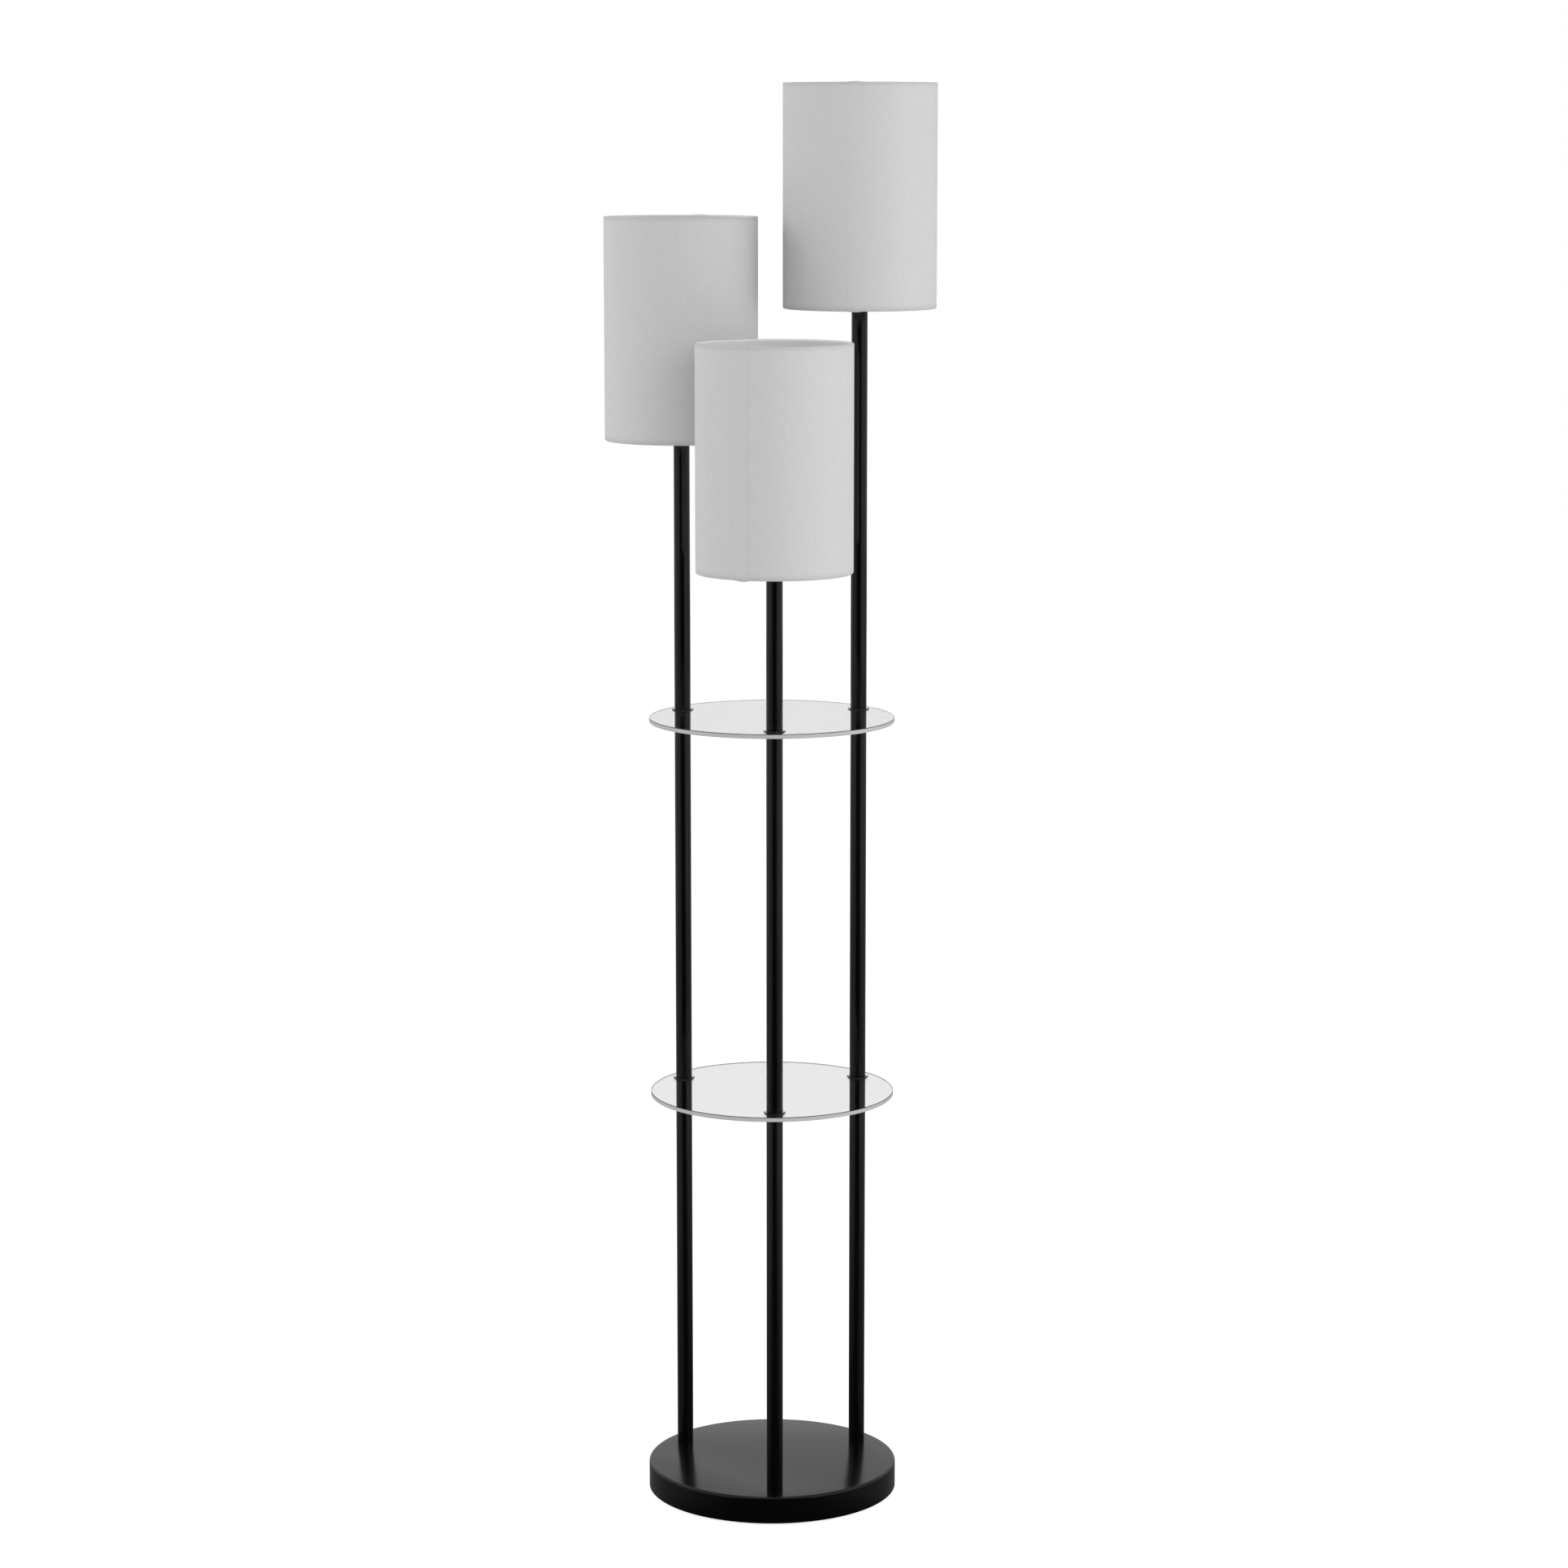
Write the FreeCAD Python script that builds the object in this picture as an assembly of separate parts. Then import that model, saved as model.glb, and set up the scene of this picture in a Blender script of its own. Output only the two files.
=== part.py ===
"""Shelf floor lamp: three lamp heads on three poles, two clear round shelves and a weighted base.

Millimetres. Origin at the centre of the base on the floor, +Z up, front pole at -Y.
"""

import FreeCAD, Part
import os
from math import cos, pi, radians, sin, sqrt

Vector = FreeCAD.Vector
UP = Vector(0, 0, 1)

# ---- driving dimensions -------------------------------------------------------------------

# clearances
FIXED_GAP = 0.1  # round a piece that is screwed, pressed or glued in
RUNNING_GAP = 0.05  # round a shaft that turns
SEAT_GAP = 0.3  # beside a piece that drops into its place

# shades
shade_d = 170.0
shade_h = 246.0
shade_wall = 1.0  # fabric on its stiff liner
shade_gap = 27.4  # free space between two neighbouring shades, seen from above
shade_wire_d = 3.0
shade_wire_inset = 0.3  # from the shade's end to its wire ring
spoke_d = 2.6
fitter_ring_t = 1.6
fitter_overhang = 4.3  # of the centre ring past the socket's flange, where the spokes join it

# heights of the lamp
base_h = 32.0
lower_shelf_z = 463.0  # top face
shelf_spacing = 423.0  # from the lower shelf's top face to the upper one's
shade_rise = {"front": 172.0, "left": 302.0, "right": 447.0}  # upper shelf to the shade's lower end
pole_angle = {"front": -90.0, "left": 150.0, "right": 30.0}

# base
base_margin = 26.0  # from a pole's axis to the base's rim
cover_wall = 1.2
cover_edge_r = 3.0
foot_pad_t = 2.0
foot_pad_inset = 5.0
plate_t = 1.2
wiring_room = 17.6  # from the bottom plate to the ballast
ballast_inset = 13.8  # from the cover's skirt to the ballast
boss_d = 12.0
boss_circle_r = 95.0
boss_angle = 75.0  # of the first of three, which leaves the way from the inlet free
plate_screw_d = 4.0
plate_screw_l = 9.0
plate_screw_head_d = 8.0
plate_screw_head_t = 1.8

# shelves
shelf_t = 5.0
shelf_margin = 22.0  # from a pole's axis to the shelf's rim
shelf_edge_chamfer = 0.6
top_washer_t = 1.0
under_washer_t = 0.8
top_washer_lip = 3.2  # past the tube
under_washer_lip = 1.5

# poles
tube_d = 18.0
tube_wall = 0.9
insert_l = 14.0
stud_d = 10.0
stud_wall = 1.5
stud_grip = 12.0  # length of a stud inside an insert
stud_hole_gap = 0.5  # round a stud in a shelf, the cover or the ballast
nut_width = 16.0
nut_t = 5.0
lock_washer_d = 18.0
lock_washer_t = 1.2
lock_washer_split = 1.6
stud_end = 0.8  # of the base's nipple past its nut

# wiring
lead_d = 4.4
lead_bend_r = 6.0
lead_grip = 4.0  # length of a lead inside the junction box
inlet_bore_d = 7.2
inlet_bush_wall = 1.4
inlet_flange = 1.8
inlet_flange_t = 1.5
inlet_z = 11.0
box_side = 40.0
box_wall = 1.6
box_floor_gap = 0.5
box_lug_l = 10.0
box_lug_w = 12.0
box_screw_d = 3.0
box_screw_head_t = 2.0
box_screw_end = 3.6  # from the screw's tip to the top of the ballast
box_hole_end = 2.0  # from the end of its hole to the top of the ballast
splice_d = 8.0
splice_l = 18.0

# lamp heads
head_rise = 6.0  # from the shade's lower end to the top of the tube
neck_wall = 2.0
neck_h = 6.0
cap_d = 40.0
cap_wall = 2.0
cap_floor_t = 3.0
cap_h = 26.0
cap_edge_r = 2.0
nipple_end = 2.0  # of the head's nipple above the cap's floor
flange_t = 3.0
socket_d = 34.0
socket_floor_t = 5.0
socket_h = 37.0
shell_bore_d = 27.2
shell_wall = 0.6
shell_h = 26.0
contact_d = 8.0
contact_h = 2.4
contact_rivet_d = 4.0
clamp_ring_width = 6.0
clamp_ring_h = 9.0
clamp_grips = 18
switch_h = 14.0
switch_side_gap = 2.0
knob_shaft_d = 4.0
knob_shaft_grip = 8.0  # length of the shaft inside the switch block
knob_stand_off = 0.8
knob_hub_d = 9.0
knob_hub_l = 6.0
knob_wing_l = 16.0
knob_wing_w = 15.0
knob_wing_t = 3.6
knob_wing_r = 1.2

# bulbs
bulb_d = 60.0
bulb_l = 108.0
bulb_glass_t = 0.8
bulb_cap_d = 26.4
bulb_cap_h = 24.0
bulb_tip_d = 9.0
bulb_tip_h = 1.5
bulb_cone_h = 4.5
bulb_neck_rise = 2.0  # straight glass above the bulb's cap

# ---- sizes that follow --------------------------------------------------------------------

pole_spacing = shade_d + shade_gap
pole_circle_r = pole_spacing / sqrt(3)
base_r = pole_circle_r + base_margin
shelf_r = pole_circle_r + shelf_margin
skirt_r = base_r - cover_wall
upper_shelf_z = lower_shelf_z + shelf_spacing
tube_r = tube_d / 2
insert_r = tube_r - tube_wall - FIXED_GAP
stud_r = stud_d / 2
stud_hole_r = stud_r + stud_hole_gap

plate_top_z = foot_pad_t + plate_t
ballast_top_z = base_h - cover_wall
ballast_low_z = plate_top_z + wiring_room
nut_top_z = ballast_low_z - lock_washer_t
nipple_low_z = nut_top_z - nut_t - stud_end
lead_z = nipple_low_z - SEAT_GAP - lead_bend_r
box_low_z = plate_top_z + box_floor_gap

shade_r = shade_d / 2
shade_ring_r = shade_r - shade_wall - FIXED_GAP - shade_wire_d / 2
cap_r = cap_d / 2
socket_r = socket_d / 2
shell_r = shell_bore_d / 2 + shell_wall
fitter_bore_r = socket_r + SEAT_GAP
fitter_ring_r = cap_r + fitter_overhang


# ---- shapes -------------------------------------------------------------------------------


def disc(radius, z, height):
    """A round plate about the axis of its piece."""
    return Part.makeCylinder(radius, height, Vector(0, 0, z), UP)


def ring(outer_r, inner_r, z, height):
    """A flat ring or a length of tube about the axis of its piece."""
    return disc(outer_r, z, height).cut(disc(inner_r, z, height))


def bored(shape, radius, z, height):
    """The shape with a round hole along its own axis."""
    return shape.cut(disc(radius, z, height))


def turned(outline):
    """A solid turned about the Z axis from a closed outline of edges in the XZ plane."""
    return Part.Face(Part.Wire(outline)).revolve(Vector(0, 0, 0), UP, 360)


def line(start, end):
    """A straight edge of an outline, from one (radius, height) to the next."""
    return Part.LineSegment(Vector(start[0], 0, start[1]), Vector(end[0], 0, end[1])).toShape()


def arc(start, middle, end):
    """A round edge of an outline through three points."""
    points = [Vector(radius, 0, height) for radius, height in (start, middle, end)]
    return Part.Arc(*points).toShape()


def chain(points):
    """The straight edges that join a row of points."""
    return [line(start, end) for start, end in zip(points, points[1:])]


def pole_point(pole, z=0.0):
    """The point at a height on a pole's axis."""
    angle = radians(pole_angle[pole])
    return Vector(pole_circle_r * cos(angle), pole_circle_r * sin(angle), z)


def on_pole(shape, pole, z=0.0):
    """A copy of a shape on a pole's axis, turned so that its +X points away from the lamp."""
    placed = shape.copy()
    placed.rotate(Vector(0, 0, 0), UP, pole_angle[pole])
    placed.translate(pole_point(pole, z))
    return placed


def on_each_pole(shape, z=0.0):
    """Three like solids, one on each pole."""
    return [on_pole(shape, pole, z) for pole in pole_angle]


def turned_about(shape, angles):
    """Copies of a shape turned about the lamp's own axis."""
    copies = []
    for angle in angles:
        copy = shape.copy()
        copy.rotate(Vector(0, 0, 0), UP, angle)
        copies.append(copy)
    return copies


def along(shape, direction, start):
    """A shape that was made along +Z, laid along a direction from a point."""
    laid = shape.copy()
    laid.Placement = FreeCAD.Placement(start, FreeCAD.Rotation(UP, direction))
    return laid


def write(node, solids):
    """One file for a node, with its solids kept apart."""
    parts = []
    for solid in solids:
        parts.extend(solid.Solids)
    shape = parts[0] if len(parts) == 1 else Part.makeCompound(parts)
    shape.exportStep("parts/" + node + ".step")


# ---- base ---------------------------------------------------------------------------------


def base_cover():
    """Pressed steel cover: a disc with a rounded edge and a skirt down to the foot pad."""
    inner_edge_r = cover_edge_r - cover_wall
    centre_r = base_r - cover_edge_r
    centre_z = base_h - cover_edge_r
    slant = sqrt(0.5)
    outer_mid = (centre_r + cover_edge_r * slant, centre_z + cover_edge_r * slant)
    inner_mid = (centre_r + inner_edge_r * slant, centre_z + inner_edge_r * slant)
    outline = [
        line((0, base_h), (centre_r, base_h)),
        arc((centre_r, base_h), outer_mid, (base_r, centre_z)),
        *chain([(base_r, centre_z), (base_r, foot_pad_t), (skirt_r, foot_pad_t), (skirt_r, centre_z)]),
        arc((skirt_r, centre_z), inner_mid, (centre_r, ballast_top_z)),
        *chain([(centre_r, ballast_top_z), (0, ballast_top_z), (0, base_h)]),
    ]
    cover = turned(outline)
    for hole in on_each_pole(disc(stud_hole_r, 0, base_h)):
        cover = cover.cut(hole)
    bush_hole_r = inlet_bore_d / 2 + inlet_bush_wall + FIXED_GAP
    inlet_hole = Part.makeCylinder(bush_hole_r, base_margin, Vector(0, skirt_r - 1, inlet_z), Vector(0, 1, 0))
    return cover.cut(inlet_hole)


def boss_angles():
    """Where the ballast's bosses and the plate's screws stand."""
    return [boss_angle + turn for turn in (0, 120, 240)]


def base_ballast():
    """Cast disc under the cover, with three bosses that carry the bottom plate."""
    ballast = disc(skirt_r - ballast_inset, ballast_low_z, ballast_top_z - ballast_low_z)
    boss = disc(boss_d / 2, plate_top_z, ballast_low_z - plate_top_z)
    boss.translate(Vector(boss_circle_r, 0, 0))
    tapped = disc(plate_screw_d / 2 + FIXED_GAP, plate_top_z, plate_screw_l)
    tapped.translate(Vector(boss_circle_r, 0, 0))
    ballast = ballast.fuse(turned_about(boss, boss_angles()))
    cuts = turned_about(tapped, boss_angles()) + on_each_pole(disc(stud_hole_r, 0, base_h))
    for x in (-1, 1):
        depth = ballast_top_z - box_hole_end - ballast_low_z
        hole = disc(box_screw_d / 2 + FIXED_GAP, ballast_low_z, depth)
        hole.translate(Vector(x * (box_side + box_lug_l) / 2, 0, 0))
        cuts.append(hole)
    for cut in cuts:
        ballast = ballast.cut(cut)
    return ballast.removeSplitter()


def base_bottom_plate():
    """Thin steel plate that closes the base from below."""
    plate = disc(skirt_r - SEAT_GAP, foot_pad_t, plate_t)
    hole = disc(plate_screw_d / 2 + FIXED_GAP, foot_pad_t, plate_t)
    hole.translate(Vector(boss_circle_r, 0, 0))
    for cut in turned_about(hole, boss_angles()):
        plate = plate.cut(cut)
    return plate


def base_foot_pad():
    """Foam pad under the plate, with holes for the screw heads."""
    pad = disc(base_r - foot_pad_inset, 0, foot_pad_t)
    hole = disc(plate_screw_head_d / 2 + SEAT_GAP, 0, foot_pad_t)
    hole.translate(Vector(boss_circle_r, 0, 0))
    for cut in turned_about(hole, boss_angles()):
        pad = pad.cut(cut)
    return pad


def base_plate_screws():
    """Three round-head screws from below into the ballast's bosses."""
    head = disc(plate_screw_head_d / 2, foot_pad_t - plate_screw_head_t, plate_screw_head_t)
    shank = disc(plate_screw_d / 2, foot_pad_t, plate_screw_l)
    screw = head.fuse(shank)
    screw.translate(Vector(boss_circle_r, 0, 0))
    return turned_about(screw, boss_angles())


def cord_inlet_bush():
    """Bush in the skirt's rear that the supply cord passes through."""
    bore_r = inlet_bore_d / 2
    body_r = bore_r + inlet_bush_wall
    flange_r = body_r + inlet_flange
    inner_y = skirt_r - SEAT_GAP - inlet_flange_t
    length = base_r + inlet_flange_t - inner_y
    bush = ring(body_r, bore_r, 0, length)
    bush = bush.fuse(ring(flange_r, bore_r, 0, inlet_flange_t))
    bush = bush.fuse(ring(flange_r, bore_r, length - inlet_flange_t, inlet_flange_t))
    return along(bush.removeSplitter(), Vector(0, 1, 0), Vector(0, inner_y, inlet_z))


# ---- wiring -------------------------------------------------------------------------------


def junction_box():
    """Open-topped box under the ballast with a port for each lead and one for the cord."""
    height = ballast_low_z - box_low_z
    half = box_side / 2
    inner = half - box_wall
    box = Part.makeBox(box_side, box_side, height, Vector(-half, -half, box_low_z))
    lug_length = box_side + 2 * box_lug_l
    lug_corner = Vector(-lug_length / 2, -box_lug_w / 2, ballast_low_z - box_wall)
    lugs = Part.makeBox(lug_length, box_lug_w, box_wall, lug_corner)
    box = box.fuse(lugs)
    hollow = Part.makeBox(2 * inner, 2 * inner, height, Vector(-inner, -inner, box_low_z + box_wall))
    box = box.cut(hollow)
    port_r = lead_d / 2 + FIXED_GAP
    for pole in pole_angle:
        port = Part.makeCylinder(port_r, pole_circle_r, Vector(0, 0, lead_z), pole_point(pole))
        box = box.cut(port)
    cord_port = Part.makeCylinder(inlet_bore_d / 2, box_side, Vector(0, 0, inlet_z), Vector(0, 1, 0))
    box = box.cut(cord_port)
    for x in (-1, 1):
        hole = disc(box_screw_d / 2 + FIXED_GAP, 0, base_h)
        hole.translate(Vector(x * (box_side + box_lug_l) / 2, 0, 0))
        box = box.cut(hole)
    return box.removeSplitter()


def junction_box_screws():
    """Two screws through the box's lugs into the ballast."""
    lug_z = ballast_low_z - box_wall
    screws = []
    for x in (-1, 1):
        screw = disc(box_screw_d, lug_z - box_screw_head_t, box_screw_head_t)
        screw = screw.fuse(disc(box_screw_d / 2, lug_z, ballast_top_z - box_screw_end - lug_z))
        screw.translate(Vector(x * (box_side + box_lug_l) / 2, 0, 0))
        screws.append(screw)
    return screws


def splice_caps():
    """Two closed-end splices, live and neutral, on the floor of the box."""
    splice_r = splice_d / 2
    floor_z = box_low_z + box_wall
    caps = []
    for x in (-1, 1):
        cap = ring(splice_r, splice_r - 1, 0, splice_l).fuse(disc(splice_r, 0, 2))
        start = Vector(x * (splice_r + 1), -splice_l / 2, floor_z + splice_r + FIXED_GAP)
        caps.append(along(cap.removeSplitter(), Vector(0, 1, 0), start))
    return caps


def pole_lead(pole):
    """Two-core lead from the junction box, round one bend and up the pole to the switch block."""
    outward = pole_point(pole).normalize()
    box_reach = box_side / 2 / max(abs(outward.x), abs(outward.y))
    box_end = outward * (box_reach - lead_grip) + Vector(0, 0, lead_z)
    bend_centre = outward * (pole_circle_r - lead_bend_r) + Vector(0, 0, lead_z + lead_bend_r)
    bend_start = bend_centre - UP * lead_bend_r
    bend_middle = bend_centre + (outward - UP) * (lead_bend_r * sqrt(0.5))
    bend_end = bend_centre + outward * lead_bend_r
    top = pole_point(pole, head_z(pole) + switch_low_z)
    route = Part.Wire([
        Part.LineSegment(box_end, bend_start).toShape(),
        Part.Arc(bend_start, bend_middle, bend_end).toShape(),
        Part.LineSegment(bend_end, top).toShape(),
    ])
    section = Part.Wire([Part.Circle(box_end, outward, lead_d / 2).toShape()])
    lead = route.makePipeShell([section], True, False)
    print(pole, "lead length", round(route.Length), "bend radius", lead_bend_r,
          "volume to section times length", round(lead.Volume / (pi * lead_d**2 / 4 * route.Length), 4))
    return lead


# ---- poles --------------------------------------------------------------------------------


def pole_sections(pole):
    """The low and high end of each of the three tubes on a pole."""
    return {
        "lower": (base_h, lower_shelf_z - shelf_t - under_washer_t),
        "middle": (lower_shelf_z + top_washer_t, upper_shelf_z - shelf_t - under_washer_t),
        "upper": (upper_shelf_z + top_washer_t, head_z(pole)),
    }


def tube_inserts(section):
    """Threaded bushes pressed into both ends of a section's tube on every pole."""
    insert = ring(insert_r, stud_r + FIXED_GAP, 0, insert_l)
    inserts = []
    for pole in pole_angle:
        low, high = pole_sections(pole)[section]
        inserts.append(on_pole(insert, pole, low))
        inserts.append(on_pole(insert, pole, high - insert_l))
    return inserts


def stud(low, high):
    """Hollow threaded stud between two heights."""
    return ring(stud_r, stud_r - stud_wall, low, high - low)


def shelf_couplers():
    """The studs that join the tubes through each shelf."""
    couplers = []
    for shelf_z in (lower_shelf_z, upper_shelf_z):
        low = shelf_z - shelf_t - under_washer_t - stud_grip
        couplers.extend(on_each_pole(stud(low, shelf_z + top_washer_t + stud_grip)))
    return couplers


def hex_nut():
    """Nut under the ballast."""
    corner_r = nut_width / sqrt(3)
    corners = [Vector(corner_r * cos(radians(a)), corner_r * sin(radians(a)), 0) for a in range(0, 361, 60)]
    blank = Part.Face(Part.makePolygon(corners)).extrude(UP * nut_t)
    blank.translate(Vector(0, 0, nut_top_z - nut_t))
    return bored(blank, stud_r + FIXED_GAP, nut_top_z - nut_t, nut_t)


def lock_washer():
    """Split washer between nut and ballast."""
    washer = ring(lock_washer_d / 2, stud_r + FIXED_GAP, nut_top_z, lock_washer_t)
    corner = Vector(0, -lock_washer_split / 2, nut_top_z)
    split = Part.makeBox(lock_washer_d, lock_washer_split, lock_washer_t, corner)
    return washer.cut(split)


# ---- shelves ------------------------------------------------------------------------------


def shelf(top_z):
    """Clear round shelf with polished, slightly broken edges and a hole for each stud."""
    low_z = top_z - shelf_t
    chamfer = shelf_edge_chamfer
    outline = chain([
        (0, top_z),
        (shelf_r - chamfer, top_z),
        (shelf_r, top_z - chamfer),
        (shelf_r, low_z + chamfer),
        (shelf_r - chamfer, low_z),
        (0, low_z),
        (0, top_z),
    ])
    plate = turned(outline)
    for hole in on_each_pole(disc(stud_hole_r, low_z, shelf_t)):
        plate = plate.cut(hole)
    return plate


def shelf_washers(lip, thickness, offset):
    """Clear washers on every pole at both shelves, offset from the shelf's top face."""
    washers = []
    for shelf_z in (lower_shelf_z, upper_shelf_z):
        washer = ring(tube_r + lip, stud_r + FIXED_GAP, shelf_z + offset, thickness)
        washers.extend(on_each_pole(washer))
    return washers


# ---- lamp heads, each about its own axis with the top of the tube at zero ---------------

cap_low_z = neck_h
cap_top_z = neck_h + cap_h
cap_floor_z = neck_h + cap_floor_t
flange_top_z = cap_top_z + flange_t
socket_floor_z = cap_top_z + socket_floor_t
socket_top_z = cap_top_z + socket_h
switch_low_z = cap_top_z - switch_h
knob_z = cap_top_z - switch_h / 2
clamp_low_z = flange_top_z + fitter_ring_t
bulb_low_z = socket_floor_z + contact_h + FIXED_GAP


def shade_low_z(pole):
    """Height of the shade's lower end."""
    return upper_shelf_z + shade_rise[pole]


def head_z(pole):
    """Height of the top of the pole's upper tube."""
    return shade_low_z(pole) + head_rise


def socket_cap():
    """Cup on the pole that holds the switch block, with a threaded neck for the nipple."""
    neck = disc(tube_r + neck_wall, 0, neck_h)
    cup = disc(cap_r, cap_low_z, cap_h)
    low_edges = [edge for edge in cup.Edges if abs(edge.BoundBox.ZMax - cap_low_z) < 0.01]
    cup = cup.makeFillet(min(cap_edge_r, cap_floor_t * 0.9), low_edges)
    cap = cup.fuse(neck).cut(disc(cap_r - cap_wall, cap_floor_z, cap_h))
    cap = bored(cap, stud_r + FIXED_GAP, 0, cap_top_z)
    bearing_r = knob_shaft_d / 2 + RUNNING_GAP
    shaft_hole = Part.makeCylinder(bearing_r, cap_d, Vector(0, 0, knob_z), Vector(1, 0, 0))
    return cap.cut(shaft_hole).removeSplitter()


def socket_body():
    """Insulating body: a flange on the cap, and the barrel that the clamp ring screws on."""
    body = disc(cap_r, cap_top_z, flange_t).fuse(disc(socket_r, cap_top_z, socket_h))
    body = bored(body, shell_r + FIXED_GAP, socket_floor_z, socket_h)
    return bored(body, contact_rivet_d / 2 + FIXED_GAP, cap_top_z, socket_floor_t).removeSplitter()


def screw_shell():
    """Brass shell that the bulb screws into."""
    return ring(shell_r, shell_r - shell_wall, socket_floor_z, shell_h)


def centre_contact():
    """Riveted contact under the bulb's tip."""
    rivet = disc(contact_rivet_d / 2, cap_top_z, socket_floor_t)
    return rivet.fuse(disc(contact_d / 2, socket_floor_z, contact_h))


def switch_block():
    """Rotary switch under the socket body, with the knob's shaft in its side."""
    block_r = cap_r - cap_wall - switch_side_gap
    block = disc(block_r, switch_low_z, switch_h)
    bore_start = Vector(block_r - knob_shaft_grip - SEAT_GAP, 0, knob_z)
    bore = Part.makeCylinder(knob_shaft_d / 2 + RUNNING_GAP, cap_d, bore_start, Vector(1, 0, 0))
    return block.cut(bore)


def switch_knob():
    """Turn knob: a shaft through the cap's side, a hub and a flat wing for finger and thumb."""
    block_r = cap_r - cap_wall - switch_side_gap
    hub_x = cap_r + knob_stand_off
    outward = Vector(1, 0, 0)
    shaft_x = block_r - knob_shaft_grip
    shaft = Part.makeCylinder(knob_shaft_d / 2, hub_x - shaft_x, Vector(shaft_x, 0, knob_z), outward)
    hub = Part.makeCylinder(knob_hub_d / 2, knob_hub_l, Vector(hub_x, 0, knob_z), outward)
    wing = Part.makeBox(knob_wing_l, knob_wing_t, knob_wing_w,
                        Vector(hub_x + knob_hub_l / 2, -knob_wing_t / 2, knob_z - knob_wing_w / 2))
    corners = [edge for edge in wing.Edges if edge.BoundBox.YLength > knob_wing_t / 2]
    wing = wing.makeFillet(knob_wing_w * 0.3, corners)
    rims = [edge for edge in wing.Edges if edge.BoundBox.YLength < 0.01]
    wing = wing.makeFillet(min(knob_wing_r, knob_wing_t * 0.4), rims)
    return shaft.fuse(hub).fuse(wing).removeSplitter()


def clamp_ring():
    """Threaded ring that holds the shade's fitter on the flange, with finger grips."""
    outer_r = socket_r + clamp_ring_width
    blank = ring(outer_r, socket_r + FIXED_GAP, clamp_low_z, clamp_ring_h)
    grip = disc(0.9, clamp_low_z, clamp_ring_h)
    grip.translate(Vector(outer_r, 0, 0))
    for cut in turned_about(grip, [360 / clamp_grips * i for i in range(clamp_grips)]):
        blank = blank.cut(cut)
    return blank


def bulb_cap():
    """Screw cap of the bulb with its contact tip."""
    cap_radius = bulb_cap_d / 2
    tip_r = bulb_tip_d / 2
    outline = chain([
        (0, 0),
        (tip_r, 0),
        (tip_r, bulb_tip_h),
        (cap_radius, bulb_cone_h),
        (cap_radius, bulb_cap_h),
        (0, bulb_cap_h),
        (0, 0),
    ])
    cap = turned(outline)
    cap.translate(Vector(0, 0, bulb_low_z))
    return cap


def bulb_glass():
    """Glass bulb: a ball and a neck joined by a hollow curve, open where it meets its cap."""
    ball_r = bulb_d / 2
    neck_r = bulb_cap_d / 2
    ball_z = bulb_l - ball_r
    neck_z = bulb_cap_h + bulb_neck_rise
    drop = ball_z - neck_z
    hollow_r = (drop**2 + neck_r**2 - ball_r**2) / (2 * (ball_r - neck_r))
    centre = Vector(neck_r + hollow_r, 0, neck_z)
    ball = Vector(0, 0, ball_z)
    reach = (centre - ball).normalize()

    def wall_line(depth):
        """Neck end, neck top, middle of the hollow, meeting point, ball's side and ball's top."""
        meeting = ball + reach * (ball_r - depth)
        middle_way = (Vector(-1, 0, 0) - reach).normalize()
        middle = centre + middle_way * (hollow_r + depth)
        side = ball + (reach + UP).normalize() * (ball_r - depth)
        ends = [(neck_r - depth, bulb_cap_h), (neck_r - depth, neck_z)]
        curve = [(point.x, point.z) for point in (middle, meeting, side)]
        return ends + curve + [(0, ball_z + ball_r - depth)]

    outer = wall_line(0)
    inner = wall_line(bulb_glass_t)
    outline = [
        line(outer[0], outer[1]),
        arc(outer[1], outer[2], outer[3]),
        arc(outer[3], outer[4], outer[5]),
        line(outer[5], inner[5]),
        arc(inner[5], inner[4], inner[3]),
        arc(inner[3], inner[2], inner[1]),
        line(inner[1], inner[0]),
        line(inner[0], outer[0]),
    ]
    glass = turned(outline)
    glass.translate(Vector(0, 0, bulb_low_z))
    return glass


# ---- shades, each about its own axis with its lower end at zero ---------------------------


def shade_cover():
    """Fabric drum on its liner."""
    return ring(shade_r, shade_r - shade_wall, 0, shade_h)


def shade_rings():
    """Wire rings inside both ends of the drum."""
    height = shade_wire_d / 2 + shade_wire_inset
    return [
        Part.makeTorus(shade_ring_r, shade_wire_d / 2, Vector(0, 0, z), UP)
        for z in (height, shade_h - height)
    ]


def shade_fitter():
    """Centre ring on the socket's flange with three spokes down to the lower wire ring."""
    fitter_z = head_rise + flange_top_z
    fitter = ring(fitter_ring_r, fitter_bore_r, fitter_z, fitter_ring_t)
    wire_ring = shade_rings()[0]
    start = Vector(fitter_ring_r - spoke_d / 2, 0, fitter_z + fitter_ring_t / 2)
    end = Vector(shade_ring_r, 0, shade_wire_d / 2 + shade_wire_inset)
    spoke = Part.makeCylinder(spoke_d / 2, (end - start).Length, start, end - start)
    spoke = spoke.cut(wire_ring)
    fitter = fitter.fuse(turned_about(spoke, (60, 180, 300)))
    return bored(fitter, fitter_bore_r, 0, shade_h).removeSplitter()


# ---- the lamp -----------------------------------------------------------------------------

os.makedirs("parts", exist_ok=True)

write("base_cover", [base_cover()])
write("base_ballast", [base_ballast()])
write("base_bottom_plate", [base_bottom_plate()])
write("base_foot_pad", [base_foot_pad()])
write("base_plate_screws", base_plate_screws())
write("cord_inlet_bush", [cord_inlet_bush()])
write("junction_box", [junction_box()])
write("junction_box_screws", junction_box_screws())
write("splice_caps", splice_caps())

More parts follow.
